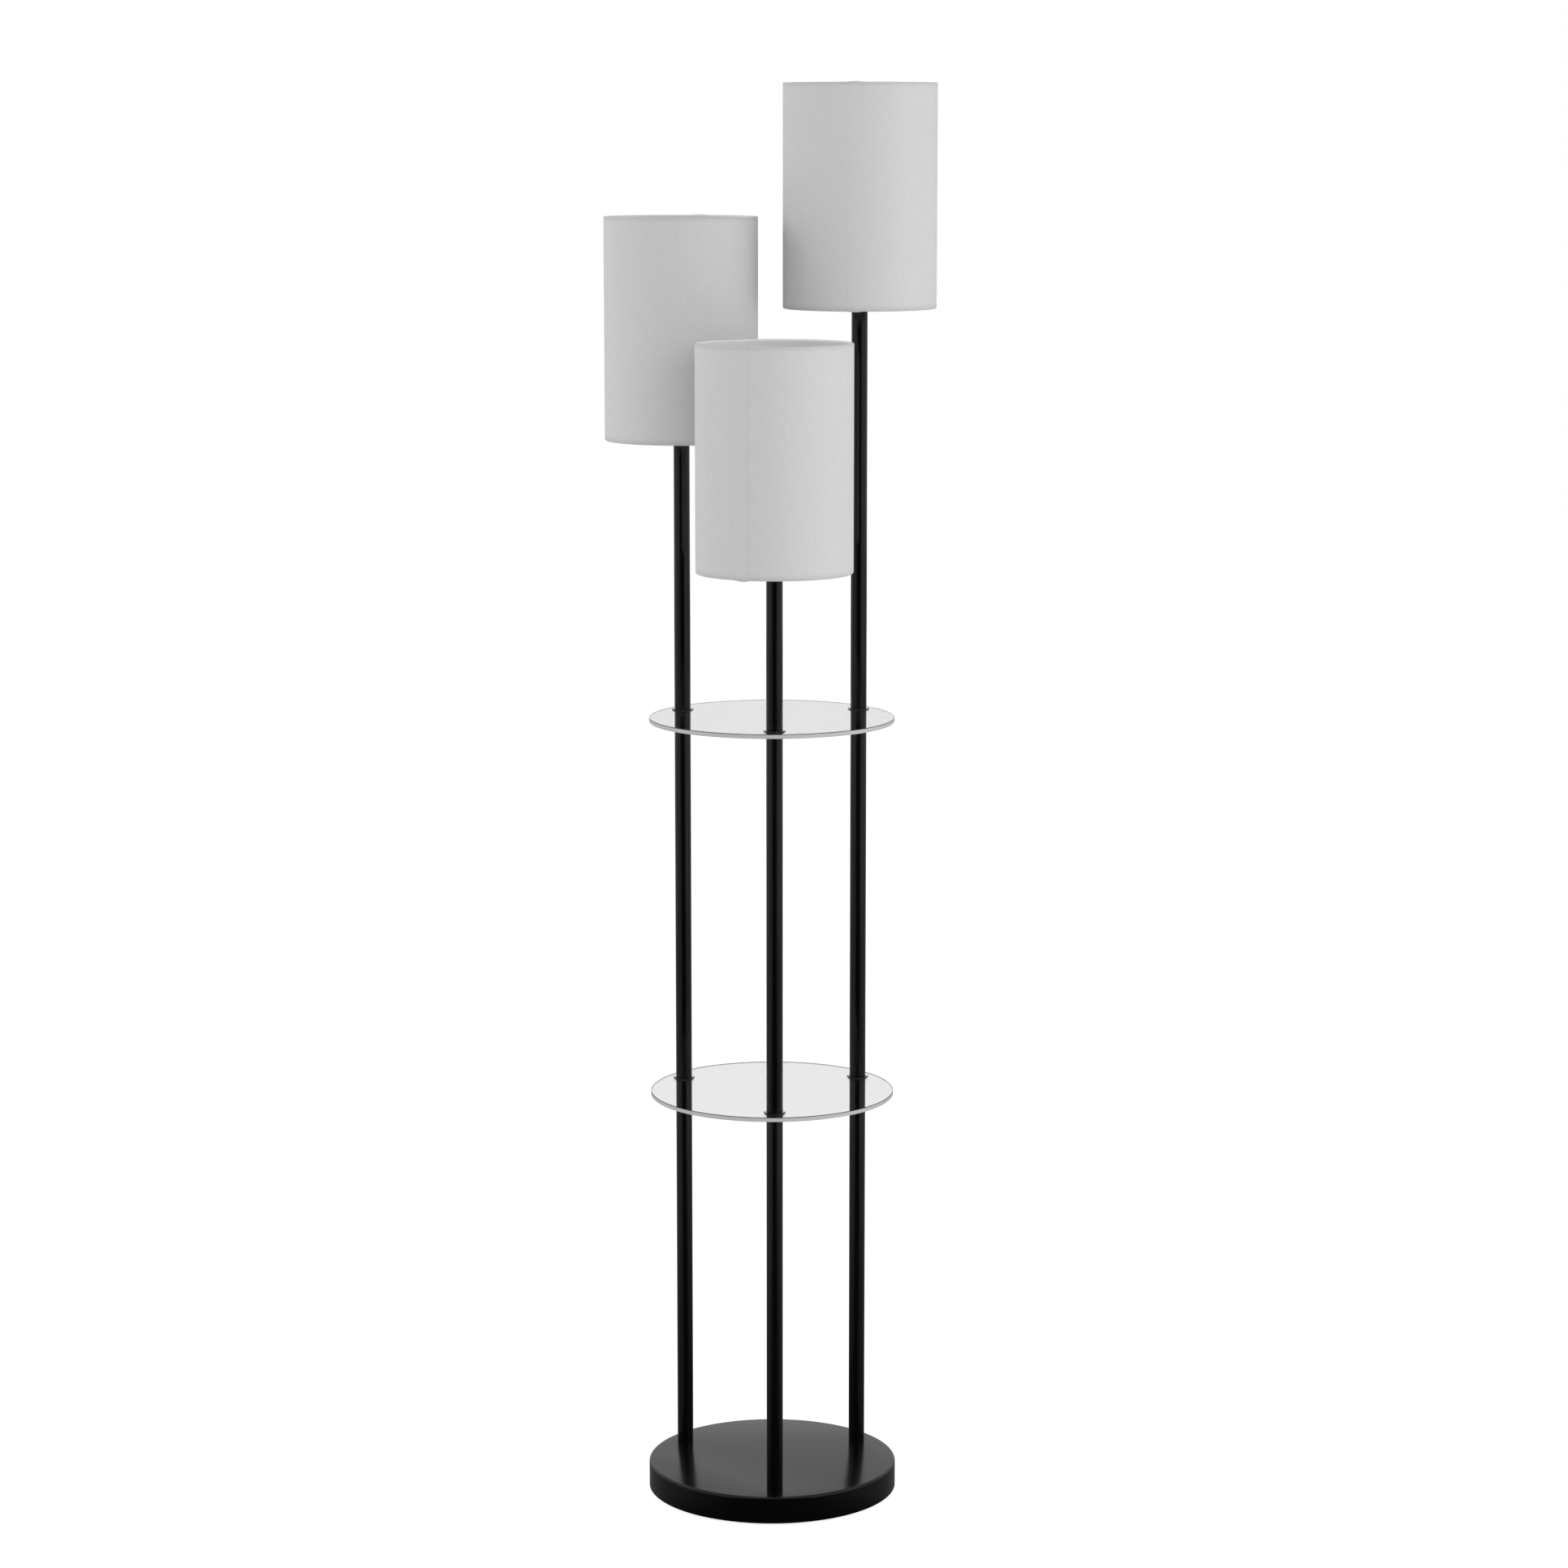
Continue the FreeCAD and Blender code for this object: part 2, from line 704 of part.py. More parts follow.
write("base_pole_nipples", on_each_pole(stud(nipple_low_z, base_h + stud_grip)))
write("base_lock_washers", on_each_pole(lock_washer()))
write("base_pole_nuts", on_each_pole(hex_nut()))

for section in ("lower", "middle", "upper"):
    write(section + "_tube_inserts", tube_inserts(section))
write("shelf_couplers", shelf_couplers())
write("lower_shelf", [shelf(lower_shelf_z)])
write("upper_shelf", [shelf(upper_shelf_z)])
write("shelf_top_washers", shelf_washers(top_washer_lip, top_washer_t, 0))
write("shelf_under_washers", shelf_washers(under_washer_lip, under_washer_t, -shelf_t - under_washer_t))

head_pieces = {
    "socket_nipples": stud(-stud_grip, cap_floor_z + nipple_end),
    "switch_blocks": switch_block(),
    "socket_contacts": centre_contact(),
    "socket_screw_shells": screw_shell(),
    "shade_clamp_rings": clamp_ring(),
    "bulb_caps": bulb_cap(),
}
for node, piece in head_pieces.items():
    write(node, [on_pole(piece, pole, head_z(pole)) for pole in pole_angle])

for pole in pole_angle:
    for section, (low, high) in pole_sections(pole).items():
        tube = ring(tube_r, tube_r - tube_wall, low, high - low)
        write(pole + "_" + section + "_tube", [on_pole(tube, pole)])
    write(pole + "_pole_lead", [pole_lead(pole)])
    write(pole + "_socket_cap", [on_pole(socket_cap(), pole, head_z(pole))])
    write(pole + "_socket_body", [on_pole(socket_body(), pole, head_z(pole))])
    write(pole + "_switch_knob", [on_pole(switch_knob(), pole, head_z(pole))])
    write(pole + "_bulb_glass", [on_pole(bulb_glass(), pole, head_z(pole))])
    write(pole + "_shade_cover", [on_pole(shade_cover(), pole, shade_low_z(pole))])
    write(pole + "_shade_rings", [on_pole(wire, pole, shade_low_z(pole)) for wire in shade_rings()])
    write(pole + "_shade_fitter", [on_pole(shade_fitter(), pole, shade_low_z(pole))])
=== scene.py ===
"""Looks of the shelf floor lamp: drum shades on three black poles, two clear shelves and a weighted base."""

import bmesh
import bpy
from math import atan2, cos, exp, hypot, pi, radians, sin
from mathutils import Matrix, Vector
from mathutils.noise import noise as wander


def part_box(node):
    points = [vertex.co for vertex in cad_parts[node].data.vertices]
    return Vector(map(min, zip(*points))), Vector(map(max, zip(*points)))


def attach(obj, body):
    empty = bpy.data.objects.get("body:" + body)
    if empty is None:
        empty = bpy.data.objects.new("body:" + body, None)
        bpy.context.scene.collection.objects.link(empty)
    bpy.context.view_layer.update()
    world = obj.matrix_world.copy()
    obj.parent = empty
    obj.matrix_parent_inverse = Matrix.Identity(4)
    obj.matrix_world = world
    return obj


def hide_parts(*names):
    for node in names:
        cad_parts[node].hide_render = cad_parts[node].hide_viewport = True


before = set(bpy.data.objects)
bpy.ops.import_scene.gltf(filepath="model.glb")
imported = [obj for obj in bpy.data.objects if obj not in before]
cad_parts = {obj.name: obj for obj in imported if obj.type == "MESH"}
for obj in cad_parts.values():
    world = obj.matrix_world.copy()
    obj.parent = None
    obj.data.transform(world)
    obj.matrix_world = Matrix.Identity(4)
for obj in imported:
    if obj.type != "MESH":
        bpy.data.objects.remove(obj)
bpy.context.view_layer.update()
MM = 0.001

# ---- camera -------------------------------------------------------------------------------
# A long lens just under the lamp's top, tilted down to the middle of the lamp. Its place and
# lens come from the rims, poles and shades in the photograph.

lens = bpy.data.cameras.new("camera")
lens.sensor_width = 36
lens.lens = 93.04
camera = bpy.data.objects.new("camera", lens)
camera.location = (-0.1107, -4.4446, 1.527)
camera.rotation_euler = (radians(90 - 9.159), 0, radians(-1.60))
bpy.context.scene.collection.objects.link(camera)
bpy.context.scene.camera = camera

# ---- base cover ---------------------------------------------------------------------------
# Pressed steel disc with a rolled edge and a skirt, powder coated satin black. Three holes under
# the poles take the nipples, and one in the rear of the skirt takes the cord's bush.


def edit(piece):
    """Opens one piece for editing, with nothing in it selected."""
    bpy.ops.object.select_all(action="DESELECT")
    piece.select_set(True)
    bpy.context.view_layer.objects.active = piece
    bpy.ops.object.mode_set(mode="EDIT")
    bpy.ops.mesh.select_all(action="DESELECT")


def pick(piece, kind, test):
    """Selects the open piece's verts, edges or faces whose middle passes a test."""
    bpy.ops.mesh.select_mode(type={"verts": "VERT", "edges": "EDGE", "faces": "FACE"}[kind])
    mesh = bmesh.from_edit_mesh(piece.data)
    for element in getattr(mesh, kind):
        corners = [element.co] if kind == "verts" else [v.co for v in element.verts]
        if test(piece.matrix_world @ (sum(corners, Vector()) / len(corners))):
            element.select_set(True)
    bmesh.update_edit_mesh(piece.data)


def bevel(piece, test, width, steps=3):
    """Rounds the edges that pass a test."""
    edit(piece)
    pick(piece, "edges", test)
    bpy.ops.mesh.bevel(offset=width, segments=steps, profile=0.5)
    bpy.ops.object.mode_set(mode="OBJECT")


def round_bar(name, radius, start, end, sides=48):
    """A round bar between two points."""
    start, end = Vector(start), Vector(end)
    turn = (end - start).to_track_quat("Z", "Y").to_euler()
    bpy.ops.mesh.primitive_cylinder_add(
        vertices=sides, radius=radius, depth=(end - start).length, location=(start + end) / 2, rotation=turn)
    bpy.context.object.name = name
    return bpy.context.object


def apply_modifier(piece, kind, **settings):
    """Adds a modifier to a piece and applies it."""
    modifier = piece.modifiers.new("shaping", kind)
    for setting, value in settings.items():
        setattr(modifier, setting, value)
    bpy.ops.object.select_all(action="DESELECT")
    piece.select_set(True)
    bpy.context.view_layer.objects.active = piece
    bpy.ops.object.modifier_apply(modifier="shaping")


def combine(piece, other, operation="DIFFERENCE"):
    """Cuts the other piece out of a piece, or welds it on, and removes the other."""
    apply_modifier(piece, "BOOLEAN", object=other, operation=operation, solver="EXACT")
    bpy.data.objects.remove(other)


def finished(piece, material, nodes, body="lamp", smooth=30):
    """Shades a piece, puts its place in its mesh and ties it to the frame."""
    bpy.ops.object.select_all(action="DESELECT")
    piece.select_set(True)
    bpy.context.view_layer.objects.active = piece
    bpy.ops.object.transform_apply(location=True, rotation=True, scale=True)
    bpy.ops.object.shade_smooth_by_angle(angle=radians(smooth))
    piece.data.materials.clear()
    piece.data.materials.append(material)
    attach(piece, body)
    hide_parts(*nodes)
    return piece


def middle(node):
    low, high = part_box(node)
    return (low + high) / 2


def maths(tree, operation, first, second=0.0):
    """A maths node's output. Each value is a socket or a number."""
    node = tree.nodes.new("ShaderNodeMath")
    node.operation = operation
    for place, value in enumerate((first, second)):
        if isinstance(value, (int, float)):
            node.inputs[place].default_value = value
        else:
            tree.links.new(value, node.inputs[place])
    return node.outputs[0]


def mapped(tree, value, low, high, least, most):
    """The output of a node that takes low to least and high to most."""
    node = tree.nodes.new("ShaderNodeMapRange")
    tree.links.new(value, node.inputs["Value"])
    for socket, level in zip(("From Min", "From Max", "To Min", "To Max"), (low, high, least, most)):
        node.inputs[socket].default_value = level
    return node.outputs[0]


# Fine grain on paint, castings and moulded plastic: a height for the bump and a slow cloud for tone
grain = bpy.data.node_groups.new("fine_grain", "ShaderNodeTree")
grain.interface.new_socket("Grains per metre", in_out="INPUT", socket_type="NodeSocketFloat")
grain.interface.new_socket("Height", in_out="OUTPUT", socket_type="NodeSocketFloat")
grain.interface.new_socket("Cloud", in_out="OUTPUT", socket_type="NodeSocketFloat")
grain_in = grain.nodes.new("NodeGroupInput")
grain_out = grain.nodes.new("NodeGroupOutput")
grain_place = grain.nodes.new("ShaderNodeTexCoord")
for socket, share, detail in (("Height", 1.0, 2.0), ("Cloud", 0.03, 3.0)):
    noise = grain.nodes.new("ShaderNodeTexNoise")
    noise.inputs["Detail"].default_value = detail
    grain.links.new(grain_place.outputs["Object"], noise.inputs["Vector"])
    size = maths(grain, "MULTIPLY", grain_in.outputs["Grains per metre"], share)
    grain.links.new(size, noise.inputs["Scale"])
    grain.links.new(noise.outputs["Fac"], grain_out.inputs[socket])
usual_noise = (0.3, 0.7)  # the stretch of a noise that tones are spread over


def grained(name, grey, roughness, grains, depth, tone=0.15, spread=0.05, **sockets):
    """A material with fine grain, whose tone and roughness drift a little over the surface."""
    made = bpy.data.materials.new(name)
    made.use_nodes = True
    nodes, link = made.node_tree.nodes, made.node_tree.links.new
    shader = nodes["Principled BSDF"]
    for socket, value in sockets.items():
        shader.inputs[socket.replace("_", " ")].default_value = value
    pattern = nodes.new("ShaderNodeGroup")
    pattern.node_tree = grain
    pattern.inputs["Grains per metre"].default_value = grains
    colour = nodes.new("ShaderNodeMix")
    colour.data_type = "RGBA"
    shades = [grey] * 3 if isinstance(grey, float) else grey
    colour.inputs["A"].default_value = (*[c * (1 - tone) for c in shades], 1)
    colour.inputs["B"].default_value = (*[c * (1 + tone) for c in shades], 1)
    cloud = pattern.outputs["Cloud"]
    gloss = mapped(made.node_tree, cloud, *usual_noise, roughness - spread, roughness + spread)
    bump = nodes.new("ShaderNodeBump")
    bump.inputs["Distance"].default_value = depth
    link(cloud, colour.inputs["Factor"])
    link(pattern.outputs["Height"], bump.inputs["Height"])
    link(colour.outputs["Result"], shader.inputs["Base Color"])
    link(gloss, shader.inputs["Roughness"])
    link(bump.outputs["Normal"], shader.inputs["Normal"])
    return made


black_paint = grained("black_paint", 0.0015, 0.17, 700, 0.002 * MM, spread=0.02)

TOUCH = 0.01 * MM  # a point this close to a plane lies on it
cutter_past = 10 * MM  # how far a cutter stands out of what it cuts
cover_low, cover_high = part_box("base_cover")
base_r = (cover_high.x - cover_low.x) / 2
base_top = cover_high.z
cover_wall = 1.2 * MM
cover_edge = 3 * MM
stud_hole_r = 5.5 * MM
pole_at = {pole: middle(pole + "_lower_tube").to_2d() for pole in ("front", "left", "right")}
bush_at = middle("cord_inlet_bush")

bpy.ops.mesh.primitive_cylinder_add(
    vertices=288, radius=base_r, depth=base_top - cover_low.z, location=(0, 0, (base_top + cover_low.z) / 2))
cover = bpy.context.object
cover.name = "base_cover_shell"
edit(cover)
pick(cover, "faces", lambda p: p.z < cover_low.z + TOUCH)
bpy.ops.mesh.delete(type="FACE")
bpy.ops.object.mode_set(mode="OBJECT")
bevel(cover, lambda p: p.z > base_top - TOUCH, cover_edge, 8)
apply_modifier(cover, "SOLIDIFY", thickness=cover_wall, offset=-1)
for pole, (x, y) in pole_at.items():
    below, above = (x, y, base_top - 2 * cover_wall), (x, y, base_top + cover_wall)
    combine(cover, round_bar("hole", stud_hole_r, below, above))
bush_hole_r = 5.1 * MM
through = Vector((0, cutter_past, 0))
combine(cover, round_bar("hole", bush_hole_r, bush_at - through, bush_at + through))
finished(cover, black_paint, ["base_cover"])

# ---- inside the base ----------------------------------------------------------------------
# Cast iron disc under the cover, held by the nipples' nuts, with a moulded junction box, its
# splices and the leads below it. A zinc plated plate and a foam pad close the base.


def coat(material, *nodes):
    """Gives frame nodes a finish."""
    for node in nodes:
        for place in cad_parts[node].material_slots:
            place.material = material


cast_iron = grained("cast_iron", 0.055, 0.72, 500, 0.12 * MM, tone=0.3, Metallic=0.6)
zinc_steel = grained("zinc_steel", 0.55, 0.34, 1500, 0.01 * MM, tone=0.12, spread=0.08, Metallic=1.0)
box_plastic = grained("box_plastic", 0.045, 0.5, 1200, 0.01 * MM)
splice_plastic = grained("splice_plastic", 0.6, 0.45, 1200, 0.01 * MM)
lead_plastic = grained("lead_plastic", 0.02, 0.42, 1500, 0.008 * MM)
coat(cast_iron, "base_ballast")
coat(zinc_steel, "base_bottom_plate", "base_plate_screws", "base_pole_nipples", "base_lock_washers",
     "base_pole_nuts", "junction_box_screws", "shelf_couplers", "socket_nipples",
     "lower_tube_inserts", "middle_tube_inserts", "upper_tube_inserts")
coat(box_plastic, "junction_box")
coat(splice_plastic, "splice_caps")
coat(lead_plastic, *[pole + "_pole_lead" for pole in pole_at])

# ---- foot pad -----------------------------------------------------------------------------
# Die-cut disc of black foam glued under the plate, with a round window for each screw head.

foot_foam = grained("foot_foam", 0.025, 0.95, 2200, 0.15 * MM, tone=0.35)
pad_low, pad_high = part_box("base_foot_pad")
pad_r = (pad_high.x - pad_low.x) / 2
window_r = 4.3 * MM
window_circle_r = 95 * MM
first_window = 75
pad = round_bar("base_pad", pad_r, (0, 0, pad_low.z), (0, 0, pad_high.z), 192)
pad_edge = 0.5 * MM
bevel(pad, lambda p: p.to_2d().length > pad_r - 1 * MM, pad_edge, 3)
for turn in (0, 120, 240):
    angle = radians(first_window + turn)
    x, y = window_circle_r * cos(angle), window_circle_r * sin(angle)
    combine(pad, round_bar("window", window_r, (x, y, -cutter_past), (x, y, cutter_past)))
finished(pad, foot_foam, ["base_foot_pad"])

# ---- cord inlet bush ----------------------------------------------------------------------
# Snap-in bush of black nylon in the rear of the skirt, with a rounded flange on both sides.


def turned(name, outline, centre=(0, 0), sides=96, closed=True):
    """A round piece: a circle drawn out loop by loop through (radius, height) points."""
    (radius, height), *points = outline + outline[:1] * closed
    bpy.ops.mesh.primitive_circle_add(vertices=sides, radius=radius, location=(*centre, height))
    piece = bpy.context.object
    piece.name = name
    bpy.ops.object.mode_set(mode="EDIT")
    bpy.ops.mesh.select_mode(type="VERT")
    bpy.ops.mesh.select_all(action="SELECT")
    for next_radius, next_height in points:
        bpy.ops.mesh.extrude_region_move(TRANSFORM_OT_translate={"value": (0, 0, next_height - height)})
        ratio = next_radius / radius
        bpy.ops.transform.resize(value=(ratio, ratio, 1), center_override=(*centre, next_height))
        radius, height = next_radius, next_height
    bpy.ops.mesh.select_all(action="SELECT")
    bpy.ops.mesh.remove_doubles(threshold=0.0001 * MM)
    bpy.ops.mesh.normals_make_consistent(inside=False)
    bpy.ops.object.mode_set(mode="OBJECT")
    return piece


def radius_of(point, centre=(0, 0)):
    return hypot(point.x - centre[0], point.y - centre[1])


bush_plastic = grained("bush_plastic", 0.012, 0.4, 1500, 0.01 * MM)
bush_low, bush_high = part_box("cord_inlet_bush")
flange_r = (bush_high.x - bush_low.x) / 2
bush_bore_r = 3.6 * MM
bush_body_r = 5.0 * MM
bush_flange_t = 1.5 * MM
bush_length = bush_high.y - bush_low.y
bush = turned("inlet_bush", [
    (bush_bore_r, 0), (flange_r, 0), (flange_r, bush_flange_t), (bush_body_r, bush_flange_t),
    (bush_body_r, bush_length - bush_flange_t), (flange_r, bush_length - bush_flange_t),
    (flange_r, bush_length), (bush_bore_r, bush_length)])
NEAR = 0.1 * MM  # a point this close to a radius lies on it
bush_edge = 0.5 * MM
bevel(bush, lambda p: radius_of(p) > flange_r - NEAR, bush_edge, 4)
on_its_side = Matrix.Rotation(radians(-90), 4, "X")
bush.matrix_world = Matrix.Translation((0, bush_low.y, bush_at.z)) @ on_its_side @ bush.matrix_world
finished(bush, bush_plastic, ["cord_inlet_bush"])

# ---- pole tubes ---------------------------------------------------------------------------
# Steel tube, 18 mm, powder coated with the base. Three lengths to a pole, each with a bush pressed
# in at both ends, stand on the base and on the washers of both shelves.

tube_wall = 0.9 * MM
tube_end_r = 0.25 * MM
for pole, (x, y) in pole_at.items():
    for part in ("lower", "middle", "upper"):
        low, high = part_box(f"{pole}_{part}_tube")
        tube_r = (high.x - low.x) / 2
        bore_r = tube_r - tube_wall
        tube = turned(
            f"{pole}_tube_{part}",
            [(bore_r, low.z), (tube_r, low.z), (tube_r, high.z), (bore_r, high.z)], (x, y))
        bevel(tube, lambda p: abs(radius_of(p, (x, y)) - tube_r) < NEAR and not (
            low.z < p.z - TOUCH < high.z - 2 * TOUCH), tube_end_r, 3)
        finished(tube, black_paint, [f"{pole}_{part}_tube"])

# ---- shelves ------------------------------------------------------------------------------
# Clear plates, 5 mm, with a ground rim, satin to the eye, under a small polished chamfer. A stud
# goes through each of the three holes and clamps the plate between two washers.


def mixed(tree, factor, first, second):
    """The output of a mix of two shaders' outputs."""
    node = tree.nodes.new("ShaderNodeMixShader")
    if isinstance(factor, float):
        node.inputs[0].default_value = factor
    else:
        tree.links.new(factor, node.inputs[0])
    tree.links.new(first, node.inputs[1])
    tree.links.new(second, node.inputs[2])
    return node.outputs[0]


def clear(name, tint, roughness, ior, absorbed=0.0):
    """A clear solid that lets the lamps' light through to what is behind it."""
    made = bpy.data.materials.new(name)
    made.use_nodes = True
    nodes, link = made.node_tree.nodes, made.node_tree.links.new
    shader = nodes["Principled BSDF"]
    shader.inputs["Base Color"].default_value = (tint, tint, tint, 1)
    shader.inputs["Roughness"].default_value = roughness
    shader.inputs["IOR"].default_value = ior
    shader.inputs["Transmission Weight"].default_value = 1
    path = nodes.new("ShaderNodeLightPath")
    passing = nodes.new("ShaderNodeBsdfTransparent")
    passing.inputs["Color"].default_value = (0.9, 0.9, 0.9, 1)
    output = nodes["Material Output"]
    look = mixed(made.node_tree, path.outputs["Is Shadow Ray"], shader.outputs[0], passing.outputs[0])
    link(look, output.inputs["Surface"])
    if absorbed:
        body = nodes.new("ShaderNodeVolumeAbsorption")
        body.inputs["Color"].default_value = (0.7, 0.7, 0.7, 1)
        body.inputs["Density"].default_value = absorbed
        link(body.outputs[0], output.inputs["Volume"])
    return made


def reface(piece, material, test):
    """Gives the faces that pass a test their own finish."""
    piece.data.materials.append(material)
    edit(piece)
    pick(piece, "faces", test)
    piece.active_material_index = 1
    bpy.ops.object.material_slot_assign()
    bpy.ops.object.mode_set(mode="OBJECT")


clear_shelf = clear("clear_shelf", 1.0, 0.0, 1.49, absorbed=4)
ground_rim = grained("ground_rim", 0.5, 0.45, 1400, 0.02 * MM, tone=0.08)
shelf_chamfer = 0.6 * MM
for name in ("lower", "upper"):
    low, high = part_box(name + "_shelf")
    shelf_r = (high.x - low.x) / 2
    shelf = round_bar(name + "_clear_plate", shelf_r, (0, 0, low.z), (0, 0, high.z), 320)
    bevel(shelf, lambda p: abs(p.z - (low.z + high.z) / 2) > (high.z - low.z) / 2 - TOUCH, shelf_chamfer, 1)
    for x, y in pole_at.values():
        below, above = (x, y, low.z - cutter_past), (x, y, high.z + cutter_past)
        combine(shelf, round_bar("hole", stud_hole_r, below, above, 64))
    finished(shelf, clear_shelf, [name + "_shelf"])
    reface(shelf, ground_rim, lambda p: radius_of(p) > shelf_r - NEAR or (
        radius_of(p) > shelf_r - shelf_chamfer and p.z < low.z + shelf_chamfer))

# ---- shelf washers ------------------------------------------------------------------------
# Soft clear rings with a rounded rim, painted dark as shade where the black tubes show through it:
# a wide one on each shelf round each tube's foot and a narrower one below, so that metal never
# touches the plate. They are pressed so hard against it that no air is left between.


def joined(pieces, name):
    """Like pieces of one node, made one."""
    bpy.ops.object.select_all(action="DESELECT")
    for piece in pieces:
        piece.select_set(True)
    bpy.context.view_layer.objects.active = pieces[0]
    bpy.ops.object.join()
    pieces[0].name = name
    return pieces[0]


clear_washer = clear("clear_washer", 0.6, 0.03, 1.45, absorbed=300)
# Painted shade: a dark rim that stands for the black tubes seen through the rounded clear edge
washer_rim_painted_shade = grained("washer_rim_painted_shade", 0.012, 0.3, 1500, 0.01 * MM)
stud_r = 5.1 * MM
bedding = 0.03 * MM
rim_depth, rim_round = 0.3 * MM, 0.45
shelf_t, top_t, under_t = 5 * MM, 1.0 * MM, 0.8 * MM
for side, thickness, offset in (("top", top_t, 0), ("under", under_t, -(shelf_t + under_t))):
    node = f"shelf_{side}_washers"
    low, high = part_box(node)
    washer_r = high.x - pole_at["right"].x
    rings = []
    for shelf in ("lower_shelf", "upper_shelf"):
        washer_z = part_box(shelf)[1].z + offset
        for x, y in pole_at.values():
            foot = washer_z - bedding * (side == "top")
            head = washer_z + thickness + bedding * (side == "under")
            section = [(stud_r, foot), (washer_r, foot), (washer_r, head), (stud_r, head)]
            ring = turned("washer", section, (x, y), 72)
            bevel(ring, lambda p: radius_of(p, (x, y)) > washer_r - NEAR, thickness * rim_round, 4)
            rings.append(ring)
    washers = finished(joined(rings, f"clear_{side}_washers"), clear_washer, [node])
    # The outer rim of each ring gets the painted dark shade
    reface(washers, washer_rim_painted_shade, lambda p: (
        min(radius_of(p, at) for at in pole_at.values()) > washer_r - rim_depth))

# ---- sockets ------------------------------------------------------------------------------
# Black painted cap on the pole's nipple, and a phenolic body on it whose barrel is threaded
# outside for the clamp ring. Inside it are a brass screw shell and a riveted contact.

socket_plastic = grained("socket_plastic", 0.014, 0.38, 1500, 0.01 * MM)
brass = grained("brass", (0.78, 0.55, 0.25), 0.3, 1500, 0.01 * MM, Metallic=1.0)
coat(brass, "socket_screw_shells", "socket_contacts")
coat(socket_plastic, "switch_blocks")


def twin(piece, name, pole):
    """A copy of the front pole's piece on another pole, turned to face outwards there."""
    here, there = pole_at["front"], pole_at[pole]
    turn = atan2(there.y, there.x) - atan2(here.y, here.x)
    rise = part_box(pole + "_upper_tube")[1].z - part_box("front_upper_tube")[1].z
    copy = piece.copy()
    copy.data = piece.data.copy()
    copy.name = name
    bpy.context.scene.collection.objects.link(copy)
    copy.matrix_world = Matrix.Translation((0, 0, rise)) @ Matrix.Rotation(turn, 4, "Z") @ piece.matrix_world
    return copy


def on_poles(piece, part, material, node):
    """Finishes the front pole's piece with its two copies, each standing for its own node."""
    copies = {pole: piece if pole == "front" else twin(piece, f"{pole}_{part}", pole) for pole in pole_at}
    for pole, copy in copies.items():
        finished(copy, material, [f"{pole}_{node}"])


front_x, front_y = pole_at["front"]
head_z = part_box("front_upper_tube")[1].z
cap_low, cap_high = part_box("front_socket_cap")
cap_r = (cap_high.x - cap_low.x) / 2
neck_r, neck_h = 11 * MM, 6 * MM
cap_wall, cap_floor, cap_edge, neck_edge = 2 * MM, 3 * MM, 2 * MM, 0.5 * MM
cap = turned("front_cap", [(radius, head_z + z) for radius, z in (
    (stud_r, 0), (neck_r, 0), (neck_r, neck_h), (cap_r, neck_h), (cap_r, cap_high.z - head_z),
    (cap_r - cap_wall, cap_high.z - head_z), (cap_r - cap_wall, neck_h + cap_floor),
    (stud_r, neck_h + cap_floor))], pole_at["front"])
for at_z, at_r, width, steps in ((head_z + neck_h, cap_r, cap_edge, 6), (head_z, neck_r, neck_edge, 3)):
    bevel(cap, lambda p: p.z < at_z + TOUCH and radius_of(p, pole_at["front"]) > at_r - NEAR, width, steps)
shaft_r = 2.05 * MM
knob_z = middle("front_switch_knob").z
inside, outside = front_y - cutter_past, front_y - 3 * cutter_past
combine(cap, round_bar("hole", shaft_r, (front_x, inside, knob_z), (front_x, outside, knob_z), 32))
on_poles(cap, "cap", black_paint, "socket_cap")

body_low, body_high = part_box("front_socket_body")
barrel_r, bore_r, rivet_r = 17 * MM, 14.3 * MM, 2.1 * MM
flange_t, floor_t, plain_t = 3 * MM, 5 * MM, 1 * MM
thread_low, thread_pitch, thread_depth = 4 * MM, 2 * MM, 0.35 * MM
thread_turns = 15
body_outline = [(rivet_r, 0), (cap_r, 0), (cap_r, flange_t), (barrel_r, flange_t)]
for ridge in range(thread_turns):
    z = thread_low + ridge * thread_pitch
    body_outline += [(barrel_r - thread_depth, z), (barrel_r, z + thread_pitch / 2)]
body_h = body_high.z - body_low.z
body_outline += [
    (barrel_r - thread_depth, body_h - plain_t), (barrel_r - thread_depth, body_h), (bore_r, body_h),
    (bore_r, floor_t), (rivet_r, floor_t)]
body = turned("front_barrel", [(radius, body_low.z + z) for radius, z in body_outline], pole_at["front"])
on_poles(body, "barrel", socket_plastic, "socket_body")

# ---- switch knobs -------------------------------------------------------------------------
# Moulded knob on the switch's shaft, which comes out of the cap's side away from the lamp: a
# round hub and a flat wing for finger and thumb. It turns on and on.

knob_plastic = grained("knob_plastic", 0.012, 0.33, 1500, 0.01 * MM)
knob_low, knob_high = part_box("front_switch_knob")
hub_r, hub_l, hub_edge, sunk = 4.5 * MM, 6 * MM, 0.5 * MM, 1 * MM
shaft_d, wing_w, wing_t, wing_corner, wing_edge = 4 * MM, 15 * MM, 3.6 * MM, 4.4 * MM, 1.1 * MM
wing_reach = 19 * MM
hub_y = knob_low.y + wing_reach
shaft_in, shaft_out = (front_x, knob_high.y, knob_z), (front_x, hub_y - sunk, knob_z)
knob = round_bar("front_knob_piece", shaft_d / 2, shaft_in, shaft_out, 32)
hub = round_bar("hub", hub_r, (front_x, hub_y, knob_z), (front_x, hub_y - hub_l, knob_z), 48)
bevel(hub, lambda p: abs(p.y - hub_y) < TOUCH or abs(p.y - hub_y + hub_l) < TOUCH, hub_edge, 3)
wing_near = hub_y - hub_l / 2
wing_y = (wing_near + knob_low.y) / 2
bpy.ops.mesh.primitive_cube_add(size=1, location=(front_x, wing_y, knob_z))
wing = bpy.context.object
